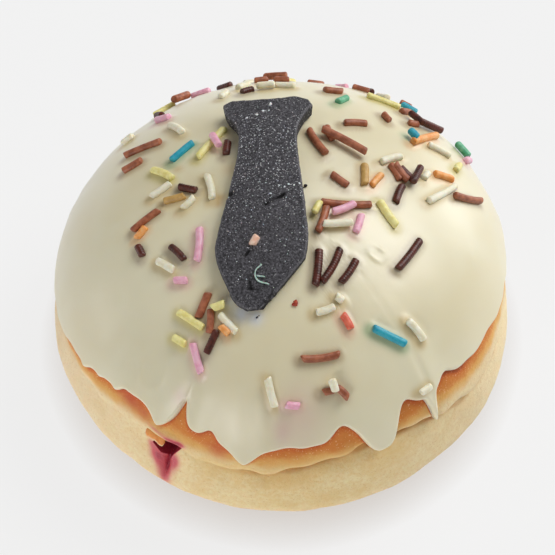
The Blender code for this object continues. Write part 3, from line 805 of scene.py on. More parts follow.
# %% Where the strands lie
STRAND_THICKNESS = 1.5
STRAND_SINK = 0.3
STRAND_SAMPLES = 8
CROSSING = 0.8  # how far apart two crossing strands lie, in thicknesses
STRANDS = {  # for each colour, the middle in plan, the heading and the length seen from above
    "milk": [
        (-27.1, 18.1, 3, 7.3), (-28.9, 13.8, 18, 3.9), (-25.7, -1.6, 32, 5.9), (-14.5, -20.5, 66, 4.6),
        (-13.3, -23.4, 86, 4.1), (7.0, -30.0, 9, 7.1), (8.5, -35.0, 15, 2.2), (10.9, -34.9, -32, 2.5),
        (10.8, 4.4, -39, 4.0), (21.4, 8.0, -63, 4.0), (22.4, 7.9, -56, 4.4), (11.9, -0.9, 2, 9.6),
        (7.4, -4.8, 73, 5.7), (35.7, 7.8, 25, 6.2), (25.6, 24.5, 17, 2.1), (24.3, 28.9, 33, 2.3),
        (15.8, 38.3, -22, 3.6), (10.1, 31.7, 2, 3.8), (14.1, 20.0, 8, 4.5), (20.3, 24.0, -62, 2.6),
        (6.7, 13.7, -63, 7.2), (9.1, 16.2, -72, 3.9), (11.6, 13.4, -32, 10.0), (-4.3, 38.4, 10, 2.6),
        (-0.1, 37.6, -10, 3.0),
    ],
    "dark": [
        (-24.4, 29.8, 130, 2.0), (-10.5, 12.8, 85, 3.5), (-17.8, 3.8, -25, 3.8), (-26.6, -7.8, -67, 2.6),
        (-19.5, -9.9, -50, 4.2), (-12.9, -26.8, 61, 4.0), (23.6, 8.3, -45, 3.3), (25.1, 7.7, 69, 4.8),
        (22.0, 2.9, 72, 4.5), (23.6, -9.8, 57, 8.0), (6.4, -14.6, 84, 7.0), (9.0, -14.0, 63, 7.5),
        (12.2, -14.9, 58, 5.5), (26.0, 25.8, -50, 3.8), (29.0, 25.5, 6, 4.5), (-6.8, 31.5, 24, 2.6),
    ],
    "cream": [
        (-20.6, 21.3, -54, 4.6), (-30.5, 24.5, 30, 2.5), (-23.0, 4.7, 31, 4.3), (-17.6, 0.5, 46, 3.1),
        (-13.7, 3.5, -79, 5.9), (-21.7, -11.9, -38, 4.1), (-9.9, -24.1, -47, 4.7), (-2.0, -35.5, -72, 4.4),
        (7.9, -22.2, 20, 3.6), (10.5, -20.1, -30, 1.6), (24.6, -23.3, -38, 3.9), (9.2, -34.0, -65, 1.9),
        (26.5, -31.6, 40, 2.6), (10.2, -5.8, 8, 5.6), (30.4, 5.8, 48, 8.4), (20.7, 11.2, 34, 4.8),
        (30.4, 18.2, -10, 4.4), (27.4, 9.1, 65, 2.2), (-7.7, 34.6, 45, 3.2), (-3.2, 32.4, 5, 3.6),
        (0.6, 33.2, -5, 4.0), (-11.6, 31.0, 60, 2.5),
    ],
    "yellow": [
        (-13.6, 14.7, 55, 8.6), (-22.8, 8.7, -42, 5.4), (-16.8, -22.7, -37, 5.9), (-11.6, -21.1, 13, 2.4),
        (-18.9, -25.7, -35, 2.9), (6.4, -2.7, 66, 2.7), (19.8, -2.1, -57, 5.9), (34.0, 15.4, 70, 2.8),
        (20.0, 31.0, -16, 6.8),
    ],
    "orange": [
        (-26.5, -4.0, 48, 2.6), (-10.5, -25.2, -45, 2.3), (17.8, 5.3, 58, 3.7), (27.7, 20.4, 48, 7.6),
        (30.9, 10.6, 6, 3.7),
    ],
    "amber": [(-20.3, 2.0, 5, 4.0), (15.5, 6.2, 89, 5.0)],
    "red": [(11.8, -24.0, -56, 2.9)],
    "pink": [
        (-23.5, 26.9, -14, 2.9), (-12.5, 14.2, -67, 3.6), (-15.6, -8.9, 87, 6.6), (-18.8, -15.3, -10, 2.6),
        (-15.7, -28.9, -72, 5.1), (1.9, -37.3, -3, 2.6), (11.3, -2.4, 29, 4.8), (14.2, -5.1, 74, 4.0),
        (36.6, 21.5, 70, 3.2),
    ],
    "blue": [
        (-19.1, 13.7, 43, 5.7), (19.7, -25.3, -14, 6.3), (25.0, 19.1, -52, 2.4), (25.4, 33.2, -33, 3.4),
    ],
    "green": [(11.7, 28.0, 50, 3.0), (35.4, 24.0, -48, 3.4)],
}
FAR_STRANDS, FAR_FROM, FAR_TO, FAR_INNER, FAR_OUTER = 12, 142.0, 218.0, 42.0, 43.4
FAR_SHIFT = (0.2, 0.8)
FAR_TURN = 35.0  # how far a strand may turn from lying along the rim
FAR_COLOURS = ("milk", "cream", "dark", "pink", "milk", "yellow")
SHORTEST_STRAND, LONGEST_STRAND = 2.2, 5.2


def far_strands():
    """Strands for the far side, laid round it at even bearings with seeded unevenness."""
    draw = random.Random(SEED)
    laid = []
    for k in range(FAR_STRANDS):
        bearing = FAR_FROM + (FAR_TO - FAR_FROM) * (k + draw.uniform(*FAR_SHIFT)) / FAR_STRANDS
        radius = draw.uniform(FAR_INNER, FAR_OUTER)
        x, y, _ = place(bearing, radius, 0.0)
        heading = bearing + draw.uniform(-FAR_TURN, FAR_TURN)
        length = draw.uniform(SHORTEST_STRAND, LONGEST_STRAND)
        laid.append((FAR_COLOURS[k % len(FAR_COLOURS)], (x, y, heading, length)))
    return laid


def lay_strand(x, y, heading, span, laid):
    """Both ends and the up direction of one strand, raised where it crosses one laid before."""
    turn = math.radians(heading)
    reach = Vector((math.cos(turn), math.sin(turn))) * span / 2
    middle, normal = ground(x, y)
    first, second = (
        Vector((x + way * reach.x, y + way * reach.y, ground_height(x + way * reach.x, y + way * reach.y)))
        for way in (-1, 1)
    )
    along = second - first
    middle = middle + normal * (STRAND_THICKNESS / 2 - STRAND_SINK)
    shares = [k / STRAND_SAMPLES - 0.5 for k in range(STRAND_SAMPLES + 1)]
    mine = [middle + along * share for share in shares]
    nearest = min(((p - q).length for p in mine for q in laid), default=STRAND_THICKNESS)
    raised = max(0.0, CROSSING * STRAND_THICKNESS - nearest)
    middle = middle + normal * raised
    laid.extend(middle + along * share for share in shares)
    return middle - along / 2, middle + along / 2, normal, raised


def lay_all_strands():
    """Every strand with its colour, in the order in which the solids were laid."""
    listed = [(colour, strand) for colour, strands in STRANDS.items() for strand in strands]
    laid = []
    return [(colour, *lay_strand(*strand, laid)) for colour, strand in listed + far_strands()]


strands = lay_all_strands()
print(len(strands), "strands of", len(STRANDS), "colours")

# %% [markdown]
# One strand is a tube of rings with blunt, slightly rounded ends. All strands of one colour become one mesh,
# which keeps the model light. The draw is seeded for each colour, so the bends come out the same each time.

# %% Strands as meshes
STRAND_SIDES = 14
END_ROUNDING = ((0.0, 0.66), (0.06, 0.84), (0.18, 0.96), (0.34, 1.0))  # from the end, share of the radius
RING_SPACING = {"dark": 0.13}
PLAIN_SPACING = 0.34
RIB_SPACING, RIB_HEIGHT = 0.52, 0.035
MOST_BEND = 0.05
THICKNESS_SHARES = (0.92, 1.06)
MOST_SLANT = 0.25
SKIN_HEIGHT, SKIN_STRETCH = 0.035, 0.9
SHARP_FROM = math.radians(48)


def strand_tube(shape, start, end, up, draw, spacing, ribbed):
    """Adds one strand to a mesh under construction."""
    axis = end - start
    length = axis.length
    ahead = axis.normalized()
    side = ahead.cross(up).normalized()
    over = side.cross(ahead)
    bend = length * draw.uniform(-MOST_BEND, MOST_BEND)
    radius = STRAND_THICKNESS / 2 * draw.uniform(*THICKNESS_SHARES)
    lean = [draw.uniform(-MOST_SLANT, MOST_SLANT) for _ in range(2)]
    body = max(2, round((length - 2 * END_ROUNDING[-1][0]) / spacing))
    stops = [d for d, _ in END_ROUNDING[:-1]]
    stops += [END_ROUNDING[-1][0] + (length - 2 * END_ROUNDING[-1][0]) * k / body for k in range(body + 1)]
    stops += [length - d for d, _ in reversed(END_ROUNDING[:-1])]
    rings = []
    for at in stops:
        from_end = min(at, length - at)
        slim = float(np.interp(from_end, *zip(*END_ROUNDING)))
        share = at / length
        rib = ribbed * RIB_HEIGHT * math.sin(2 * math.pi * at / RIB_SPACING)
        centre = start + axis * share + side * bend * 4 * share * (1 - share)
        ring_points = []
        for k in range(STRAND_SIDES):
            turn = 2 * math.pi * k / STRAND_SIDES
            where = Vector((math.cos(turn), math.sin(turn), at * SKIN_STRETCH)) + start
            rough = 1 + SKIN_HEIGHT * noise.noise(where)
            across = radius * slim * (rough + rib)
            # the broken ends are seldom square to the strand
            slant = (1 - share) * lean[0] * max(0.0, 1 - at) - share * lean[1] * max(0.0, 1 - (length - at))
            point = centre + side * across * math.cos(turn) + over * across * math.sin(turn)
            ring_points.append(shape.verts.new((point + ahead * slant * math.cos(turn)) * MM))
        rings.append(ring_points)
    for first, second in zip(rings, rings[1:]):
        for k in range(STRAND_SIDES):
            after = (k + 1) % STRAND_SIDES
            shape.faces.new((first[k], first[after], second[after], second[k]))
    shape.faces.new(list(reversed(rings[0])))
    shape.faces.new(rings[-1])


def strands_of(colour):
    """One mesh of all the strands of a colour."""
    shape = bmesh.new()
    draw = random.Random(f"{colour}{SEED}")
    spacing = RING_SPACING.get(colour, PLAIN_SPACING)
    for _, start, end, up, _ in (s for s in strands if s[0] == colour):
        strand_tube(shape, start, end, up, draw, spacing, colour in RING_SPACING)
    bmesh.ops.recalc_face_normals(shape, faces=shape.faces)
    mesh = bpy.data.meshes.new(f"strands_{colour}")
    shape.to_mesh(mesh)
    shape.free()
    mesh.shade_smooth()
    mesh.set_sharp_from_angle(angle=SHARP_FROM)
    return mesh


strand_pieces = {}
for colour in STRANDS:
    strand_pieces[colour] = bpy.data.objects.new(f"strands_{colour}", strands_of(colour))
    scene.collection.objects.link(strand_pieces[colour])
print("strands take", sum(len(p.data.polygons) for p in strand_pieces.values()), "faces")

# %% [markdown]
# The coat is made again with a low wave of icing round each strand, where it crept up before it set. Its
# vertices also learn how near a strand lies and of which colour, for a painted shadow beside each strand,
# tinted like it. The painted shadow falls to the lower left, away from the light.

# %% The coat with its strands
WAVE_HEIGHT, WAVE_REACH = 0.2, 0.55
SHADE_OFFSET = Vector((-0.45, -0.45, -0.1))
SHADE_REACH = 0.85
# painted shadow colours of the icing beside each strand, tinted like the strand
STRAND_SHADES = {  # what the icing beside a strand looks like
    "milk": (168, 140, 100), "dark": (150, 125, 98), "cream": (205, 178, 120), "yellow": (205, 190, 110),
    "orange": (225, 180, 125), "amber": (200, 170, 110), "red": (225, 180, 150), "pink": (222, 185, 170),
    "blue": (140, 175, 130), "green": (160, 185, 140),
}
SHADE_STRENGTH = {"milk": 0.55, "dark": 0.5, "cream": 0.6, "yellow": 0.65, "amber": 0.6}
PLAIN_SHADE = 0.6


def strand_tree(offset):
    """A search tree of points inside every strand, moved by an offset."""
    tree = KDTree(len(strands) * (STRAND_SAMPLES + 1))
    for number, (_, start, end, _, _) in enumerate(strands):
        for k in range(STRAND_SAMPLES + 1):
            tree.insert(start.lerp(end, k / STRAND_SAMPLES) + offset, number)
    tree.balance()
    return tree


def near_strands(points, offset):
    """Distance to the nearest strand's surface, and that strand's number."""
    tree = strand_tree(offset)
    found = [tree.find(point)[1:] for point in points.reshape(-1, 3).tolist()]
    number, distance = (np.array(values) for values in zip(*found))
    away = np.clip(distance - STRAND_THICKNESS / 2, 0.0, None)
    return away.reshape(points.shape[:-1]), number.astype(int)


coat_full = full_thickness(coat_bearing, coat_latitude)
away, _ = near_strands(lifted(coat_bearing, coat_latitude, coat_full), Vector())
coat_full = coat_full + WAVE_HEIGHT * np.exp(-((away / WAVE_REACH) ** 2))
outside = lifted(coat_bearing, coat_latitude, SINK + (coat_full - SINK) * roll_over(coat_distance))
coat = add_piece("icing_coat", coat_skin("icing_coat", outside))
coat_xyz = positions(coat.data)
# painted shadow: how near a strand lies once moved to the lower left, and which strand it is
shade_away, shade_number = near_strands(coat_xyz, SHADE_OFFSET)
strength = np.array([SHADE_STRENGTH.get(s[0], PLAIN_SHADE) for s in strands])
shades = np.array([picture(*STRAND_SHADES[s[0]])[:3] for s in strands])
mark(coat.data, "shade", strength[shade_number] * np.exp(-((shade_away / SHADE_REACH) ** 2)))
mark_colour(coat.data, "shade_colour", shades[shade_number])
print("coat", len(coat.data.polygons), "faces")

# %% [markdown]
# Other tints in the icing have their own causes: a milky pool pressed out under the necktie's point, a faint
# pink and a grey blush at the front, and soft amber spots, most of them just left of the necktie. Each is a
# soft round spot in the plan.

# %% Tints in the icing
# each spot is x, y, radius and strength
MILKY_POOL = [(-7.6, -22.6, 1.5, 0.8), (-4.8, -23.6, 1.3, 0.8), (-9.6, -20.4, 0.9, 0.5)]
PINK_BLUSH = [(3.3, -38.6, 4.0, 0.5), (-0.1, -40.8, 1.6, 0.5), (-19.0, -34.0, 1.4, 0.5)]
AMBER_SPOTS = [
    (-11.8, 0.9, 1.0, 0.8), (-11.9, -0.6, 0.8, 0.6), (-20.0, 9.6, 0.9, 0.5), (-9.8, 7.5, 1.6, 0.35),
]


def spots(points, listed):
    """Soft spots in the plan, 1 at most."""
    total = np.zeros(len(points))
    for x, y, radius, strength in listed:
        total += strength * np.exp(-(((points[:, 0] - x) ** 2 + (points[:, 1] - y) ** 2) / radius**2))
    return np.clip(total, 0.0, 1.0)


mark(coat.data, "pool", spots(coat_xyz, MILKY_POOL))
mark(coat.data, "blush", spots(coat_xyz, PINK_BLUSH))
mark(coat.data, "amber_tint", spots(coat_xyz, AMBER_SPOTS))
print("tints reach", int((spots(coat_xyz, AMBER_SPOTS) > 0.1).sum()), "vertices with amber")

# %% [markdown]
# White chocolate icing is not quite opaque: light goes a millimetre into it, which softens every shade, and
# its skin is satin with a soft gloss. Subsurface scattering and a thin coat give both. The colour is nearly
# even, so only faint clouds vary it.

# %% Icing finish
icing_finish = Finish(
    "poured_icing", Roughness=0.36, Subsurface_Weight=0.3, Subsurface_Scale=1.2 * MM,
    Subsurface_Radius=(1.0, 0.85, 0.55), Coat_Weight=0.75, Coat_Roughness=0.34, IOR=1.46,
)
clouds = icing_finish.clouds(16.0, 2.0)
tint = icing_finish.mix(clouds.between(0.3, 0.7), picture(230, 220, 185), picture(234, 227, 196))
# amber spots in the icing, most of them just left of the necktie
tint = icing_finish.mix(icing_finish.stored("amber_tint"), tint, picture(205, 165, 95))
tint = icing_finish.mix(icing_finish.stored("blush"), tint, picture(222, 190, 178))
# painted shadow beside each strand, in a colour tinted like it
shade_colour = icing_finish.stored("shade_colour", "Color")
tint = icing_finish.mix(icing_finish.stored("shade"), tint, shade_colour)
tint = icing_finish.mix(icing_finish.stored("pool"), tint, picture(222, 228, 236))
icing_finish.feed("Base Color", tint)
icing_finish.relief(icing_finish.clouds(2.2, 2.0), 0.02)
coat.data.materials.append(icing_finish.material)
print("finish", icing_finish.material.name, "has", len(icing_finish.tree.nodes), "nodes")

# %% [markdown]
# The crust is fried deep brown under the icing, with painted contact shadow just where the icing ends, and
# stays pale round its side, where the bun floated and the fat never reached. A finish can't see any of that,
# so each vertex is told: how far it lies below the icing's drips and below the line that they start from,
# where it is beside the crease, how much jam has soaked into it, how high it is and which way it faces;
# the crease and the facing carry painted shade and painted sheen.

# %% What the crust's finish needs
STAIN_SPOTS = [  # right of the hole, above it, half width, half height, strength
    (-1.2, -2.8, 1.8, 2.7, 1.1), (2.6, -1.9, 1.4, 2.8, 1.0), (0.8, -6.0, 1.8, 2.8, 0.9),
    (0.9, -9.4, 1.5, 2.2, 0.6), (1.8, 3.8, 2.2, 0.6, 1.1), (3.4, 3.3, 1.2, 0.7, 0.9),
    (-2.4, 4.2, 2.0, 0.4, 0.6), (-2.9, -0.6, 1.0, 1.4, 0.5), (0.9, -5.2, 0.35, 2.2, 0.7),
]
CUT_REACH = 0.05  # a vertex this near the cutter lies on the hole's own walls
SOAKED_FROM, SOAKED_DEPTH = 0.6, 5.0  # inwards from the waist
WALL_STAIN, SOAKED_STAIN, MOST_STAIN = 1.2, 0.8, 1.3
CREASE_SHADE_BELOW, CREASE_SHADE_WIDTH = 0.3, 0.9
RUDDY_SPOTS = [  # bearing, height, half width, half height, strength: jam showing through the brown
    (-44.0, 26.6, 4.0, 2.0, 0.9), (-38.5, 25.6, 2.4, 1.6, 0.6), (-17.0, 25.6, 3.0, 2.0, 0.7),
]
# the sides facing left and right get painted sheen, and the front gets painted shade below the crease
SIDES = {"left_side_sheen": (-80.0, 45.0), "in_front": (5.0, 28.0), "right_side_sheen": (70.0, 35.0)}

crust_xyz = positions(bun.data)
crust_bearing = bearing_of(crust_xyz)
crust_height = crust_xyz[:, 2]
right, up = beside_hole(crust_bearing, crust_height)
stain = np.zeros(len(crust_xyz))
for x, z, wide, tall, strong in STAIN_SPOTS:
    stain += strong * np.exp(-(((right - x) / wide) ** 2) - ((up - z) / tall) ** 2)
on_the_cut = np.array([cavity_search.find_nearest(p, CUT_REACH)[0] is not None for p in crust_xyz.tolist()])
inwards = (WAIST_RADIUS - SOAKED_FROM - np.hypot(crust_xyz[:, 0], crust_xyz[:, 1])) / SOAKED_DEPTH
wall_stain = WALL_STAIN + SOAKED_STAIN * np.clip(inwards, 0.0, 1.0)
stain = np.where(on_the_cut, wall_stain, np.clip(stain, 0.0, MOST_STAIN))
ruddy = np.zeros(len(crust_xyz))
for at, z, wide, tall, strong in RUDDY_SPOTS:
    ruddy += strong * bump(crust_bearing, at, wide) * np.exp(-(((crust_height - z) / tall) ** 2))
crease_height = round_the_side(CREASE_LINE, crust_bearing)
in_crease = np.exp(-(((crust_height - crease_height + CREASE_SHADE_BELOW) / CREASE_SHADE_WIDTH) ** 2))
mark(bun.data, "below_icing", icing_edge(crust_bearing) - crust_height)
mark(bun.data, "below_line", round_the_side(EDGE_LINE, crust_bearing) - crust_height)
mark(bun.data, "in_crease", in_crease * round_the_side(CREASE_DEPTHS, crust_bearing))
mark(bun.data, "stain", stain)
mark(bun.data, "ruddy", np.clip(ruddy, 0.0, 1.0))
mark(bun.data, "height", crust_height)
mark(bun.data, "above_crease", crust_height - crease_height)
for name, (centre, half_width) in SIDES.items():
    mark(bun.data, name, bump(crust_bearing, centre, half_width))
print("jam stains", int((stain > 0.3).sum()), "vertices of the crust")

# %% [markdown]
# The layers of the crust's colour go one over the other: the pale side with its clouds, a pinker heel and
# painted sheen on the sides that face left and right, painted shade in and below the crease, the orange
# shoulder under the icing with painted glints of fat and painted contact shadow at the icing's edge, and
# last the jam's stain. Noise moves the limits of the fried bands up and down, as frying did.

# %% Crust finish
crust_finish = Finish(
    "fried_crust", Roughness=0.62, Subsurface_Weight=0.2, Subsurface_Scale=1.2 * MM,
    Subsurface_Radius=(1.0, 0.5, 0.25), IOR=1.45,
)
broad = crust_finish.clouds(6.0, 3.0)
fine = crust_finish.clouds(0.9, 4.0, 0.65)
specks = crust_finish.clouds(0.35, 2.0, 0.5)
moved = (broad - 0.5) * 3.4 + (fine - 0.5) * 1.6
below_line = crust_finish.stored("below_line") + moved
below_icing = crust_finish.stored("below_icing") + moved * 0.4
height = crust_finish.stored("height") + (broad - 0.5) * 5.0
above_crease = crust_finish.stored("above_crease")
# painted shade below the crease's overhanging lip at the front, and in the crease itself
below_crease = above_crease.between(-7.0, -0.5) * crust_finish.stored("in_front")
in_crease = crust_finish.stored("in_crease").between(0.2, 1.8)
fried = above_crease.between(0.2, 2.8) * 0.6 + 0.4
stained = crust_finish.stored("stain")
pale_side_and_sheen = [
    (fine.between(0.3, 0.7), (239, 210, 150)),
    (broad.between(0.4, 0.66) * 0.5, (236, 200, 130)),
    (height.between(12.0, 4.0), (243, 196, 150)),
    # painted sheen: paler crust on the sides that face left and right
    (crust_finish.stored("left_side_sheen") * 0.6, (250, 224, 190)),
    (crust_finish.stored("right_side_sheen") * 0.45, (246, 226, 192)),
    (specks.between(0.62, 0.7) * 0.4, (206, 150, 90)),
]
# painted shade in the crease and below it
painted_crease_shade = [(below_crease * 0.45, (234, 190, 112)), (in_crease * 0.7, (196, 134, 62))]
fried_shoulder_and_painted_light = [
    (below_line.between(5.4, 3.0) * fried, (234, 178, 98)),
    (below_line.between(3.4, 1.4) * fried, (220, 134, 56)),
    # deeper brown, partly painted contact shadow, just under the icing's edge
    (below_icing.between(1.8, 0.2) * 0.9, (206, 98, 38)),
    # painted glints of fat: pale specks in the fried band
    (specks.between(0.38, 0.3) * below_line.between(4.0, 2.0) * 0.7, (250, 206, 150)),
    (crust_finish.stored("ruddy") * 0.85, (198, 78, 52)),
    # painted contact shadow: a dark line right at the icing's edge
    (below_icing.between(0.6, 0.0) * 0.6, (150, 58, 26)),
]
jam_stain = [
    (stained.between(0.0, 0.9) * 0.9, (220, 112, 116)),
    (stained.between(0.5, 1.0) * 0.8, (204, 64, 80)),
    (stained.between(1.0, 1.15), (196, 70, 84)),
    (stained.between(1.0, 1.3) * 0.7, (160, 34, 56)),
    (stained.between(1.4, 1.95), (112, 20, 38)),
]
layers = pale_side_and_sheen + painted_crease_shade + fried_shoulder_and_painted_light + jam_stain
side = crust_finish.layered(picture(248, 228, 178), layers)
crust_finish.feed("Base Color", side)
crust_finish.feed("Roughness", 0.68 - stained.between(0.3, 1.2) * 0.35)
crust_finish.relief(crust_finish.clouds(0.55, 4.0, 0.6) + broad * 0.5, 0.15)
bun.data.materials.append(crust_finish.material)
print("finish", crust_finish.material.name, "has", len(crust_finish.tree.nodes), "nodes")

# %% [markdown]
# Beside the hole a flap of crust was torn up and stands out. It is a flattened loft along a short curve that
# starts on the crust and ends over the corner of the hole: brown above and pale at its torn lower rim.

# %% Torn flap of crust
FLAP_FROM, FLAP_TO = (-4.4, 2.3), (0.5, 2.5)  # right of the hole, above it
FLAP_STEPS, FLAP_POINTS = 22, 20
FLAP_HALF_WIDTH, FLAP_HALF_THICK = 1.3, 0.35
FLAP_OUT = (-0.15, 0.4)  # how far its middle stands out, at either end
FLAP_SLANT = (0.5, 0.87)  # how far its width runs outwards and downwards
FLAP_WAVES, FLAP_WAVE_HEIGHT = 9, 0.12
FLAP_LUMPS = (1.1, 0.16, 4.4)  # size, height, seed


def flap_points():
    """Rings along the flap, from the crust to its free tip."""
    rings = []
    upright = np.array([0.0, 0.0, 1.0])
    turn = np.linspace(0.0, 2 * math.pi, FLAP_POINTS, endpoint=False)[:, None]
    for share in np.linspace(0.0, 1.0, FLAP_STEPS):
        right = FLAP_FROM[0] + (FLAP_TO[0] - FLAP_FROM[0]) * share
        height = HOLE_Z + FLAP_FROM[1] + (FLAP_TO[1] - FLAP_FROM[1]) * share
        bearing = HOLE_BEARING + math.degrees(right / WAIST_RADIUS)
        at = place(bearing, bun_profile(bearing, dome_latitude(height))[0], height)
        out = outward(at)
        middle = at + out * (FLAP_OUT[0] + (FLAP_OUT[1] - FLAP_OUT[0]) * share)
        wide = FLAP_SLANT[0] * out - FLAP_SLANT[1] * upright
        thick = FLAP_SLANT[1] * out + FLAP_SLANT[0] * upright
        wavy = 1.0 + FLAP_WAVE_HEIGHT * math.sin(FLAP_WAVES * share)
        taper = max(1.0 - (2 * share - 1.0) ** 6, 0.0) ** 0.5 * wavy
        spread = FLAP_HALF_WIDTH * np.cos(turn) * wide + FLAP_HALF_THICK * np.sin(turn) * thick
        rings.append(middle + taper * spread)
    return np.array(rings), np.broadcast_to(np.cos(turn), (FLAP_POINTS, 1))


flap_rings, flap_across = flap_points()
flap_mesh = skin("crust_flap", flap_rings)
flap_xyz = positions(flap_mesh)
lump_size, lump_height, lump_seed = FLAP_LUMPS
flap_relief = lump_height * unevenness(flap_xyz, lump_size, lump_seed)
move_to(flap_mesh, flap_xyz + outward(flap_xyz) * flap_relief[:, None])
pale_rim = np.concatenate([[0.0], np.tile(flap_across[:, 0], FLAP_STEPS - 2), [0.5]])
mark(flap_mesh, "torn_rim", pale_rim)
flap = add_piece("crust_flap", flap_mesh)
flap_finish = Finish("torn_crust", Roughness=0.6, Subsurface_Weight=0.2, Subsurface_Scale=1.0 * MM)
rim = flap_finish.stored("torn_rim") + (flap_finish.clouds(1.0) - 0.5) * 0.8
browned = (flap_finish.clouds(1.6).between(0.35, 0.7), (226, 132, 60))
pale_edge = (rim.between(0.45, 0.8), (240, 200, 150))
flap_finish.feed("Base Color", flap_finish.layered(picture(244, 164, 82), [browned, pale_edge]))
flap_finish.relief(flap_finish.clouds(0.5, 4.0), 0.1)
flap.data.materials.append(flap_finish.material)
print("flap", len(flap.data.polygons), "faces")

# %% [markdown]
# The jam stands a little back from the hole with a wet, slightly bulging face. It is the same loft as the
# cavity, a hair larger at the throat so that no dark gap shows beside it.

# %% The jam
JAM_TOUCH = 0.12
JAM_BULGE = 1.0
JAM_LUMPS = (1.6, 0.25, 9.1)  # size, height, seed


def jam_stations():
    """The pocket, the throat and the bulging face."""
    stations = pocket_stations(0.0)
    stations += [(THROAT_FROM, *way_out(0.0, 0.0)), (THROAT_TO, *way_out(0.0, GAP + JAM_TOUCH))]
    for turn in np.radians(np.arange(0.0, 90.0, 10.0)):
        distance = JAM_FACE - JAM_BULGE + JAM_BULGE * math.sin(turn)
        half_width, half_height, torn = way_out(torn_at(distance), JAM_TOUCH)
        stations.append((distance, half_width * math.cos(turn), half_height * math.cos(turn), torn))
    stations.append((JAM_FACE, 0.0, 0.0, 0.0))
    return stations


jam_mesh = loft("jam_filling", jam_stations())
jam_xyz = positions(jam_mesh)
lump_size, lump_height, lump_seed = JAM_LUMPS
jam_relief = lump_height * unevenness(jam_xyz, lump_size, lump_seed)
move_to(jam_mesh, jam_xyz + np.array(line_forward) * jam_relief[:, None])
jam = add_piece("jam_filling", jam_mesh)
jam_finish = Finish(
    "red_jam", Roughness=0.12, Subsurface_Weight=0.4, Subsurface_Scale=1.5 * MM,
    Subsurface_Radius=(1.0, 0.2, 0.2), Coat_Weight=0.6, Coat_Roughness=0.05, IOR=1.42,
)
seeds = jam_finish.clouds(0.9, 2.0).between(0.35, 0.7)
jam_finish.feed("Base Color", jam_finish.mix(seeds, picture(104, 14, 30), picture(140, 30, 44)))
jam_finish.relief(jam_finish.clouds(0.7, 2.0), 0.15)
jam.data.materials.append(jam_finish.material)
print("jam", len(jam.data.polygons), "faces")

# %% [markdown]
# The necktie was cut from rolled black sugar paste with a blunt cutter and laid on while the icing was soft.
# Its outline is a curve with a bevel. A voxel remesh then gives it an even grid, fine enough to sculpt, and
# each vertex is carried from the flat slab onto the dome, as the paste itself sagged.

# %% Necktie cut from paste
TIE_OUTLINE = [  # right side upwards from the point, then the left side downwards
    (-3.6, -22.4), (-1.4, -20.2), (1.6, -16.8), (4.2, -13.5), (4.7, -10.0), (4.4, -5.0),
    (3.7, 2.0), (3.0, 8.5), (2.9, 14.4), (4.0, 18.0), (5.7, 21.2), (4.8, 22.9), (2.4, 23.7),
    (-1.6, 22.9), (-5.0, 22.9), (-9.2, 23.2), (-11.0, 22.0), (-10.5, 19.4), (-8.4, 15.4),
    (-8.1, 10.5), (-9.4, 2.0), (-11.7, -8.5), (-12.1, -11.6), (-9.9, -18.2), (-8.3, -21.2), (-6.4, -22.5),
]
TIE_THICKNESS = [(-23.0, 1.7), (-16.0, 2.1), (10.0, 2.7), (15.0, 3.1), (24.0, 3.1)]  # along y
TIE_CORNER = math.radians(28.0)  # a bend sharper than this stays a corner
TIE_BEVEL = 0.45
TIE_SLAB = 2.0
TIE_VOXEL = 0.2
TIE_LIFT = 0.25


def tie_slab():
    """The flat necktie as an even mesh."""
    curve = bpy.data.curves.new("necktie_outline", "CURVE")
    curve.dimensions = "2D"
    curve.fill_mode = "BOTH"
    curve.resolution_u = 8
    curve.extrude = (TIE_SLAB / 2 - TIE_BEVEL) * MM
    curve.bevel_depth = TIE_BEVEL * MM
    curve.bevel_resolution = 1
    curve.offset = -TIE_BEVEL * MM
    spline = curve.splines.new("BEZIER")
    spline.bezier_points.add(len(TIE_OUTLINE) - 1)
    corners = [Vector(corner) for corner in TIE_OUTLINE]
    for index, (point, corner) in enumerate(zip(spline.bezier_points, corners)):
        point.co = (corner.x * MM, corner.y * MM, 0.0)
        bend = (corner - corners[index - 1]).angle(corners[(index + 1) % len(corners)] - corner)
        point.handle_left_type = point.handle_right_type = "VECTOR" if bend > TIE_CORNER else "AUTO"
    spline.use_cyclic_u = True
    outline = bpy.data.objects.new("necktie_outline", curve)
    scene.collection.objects.link(outline)
    flat = evaluated_mesh(outline)
    bpy.data.objects.remove(outline)
    slab = bpy.data.objects.new("necktie_slab", flat)
    scene.collection.objects.link(slab)
    even = slab.modifiers.new("even grid", "REMESH")
    even.mode = "VOXEL"
    even.voxel_size = TIE_VOXEL * MM
    mesh = evaluated_mesh(slab)
    bpy.data.objects.remove(slab)
    return mesh


def evaluated_mesh(thing):
    """What an object's modifiers make of it, as a mesh of its own."""
    bpy.context.view_layer.update()
    return bpy.data.meshes.new_from_object(thing.evaluated_get(bpy.context.evaluated_depsgraph_get()))


tie_mesh = tie_slab()
print("necktie slab", len(tie_mesh.polygons), "faces")

# %% [markdown]
# Sugar paste dries with a grainy skin. This one also cracked across its middle, was nicked in a few
# places, and crumbled at its point. Each mark is a groove between two points or a round pit, all
# given in the plan, and the relief is added before the slab is bent.

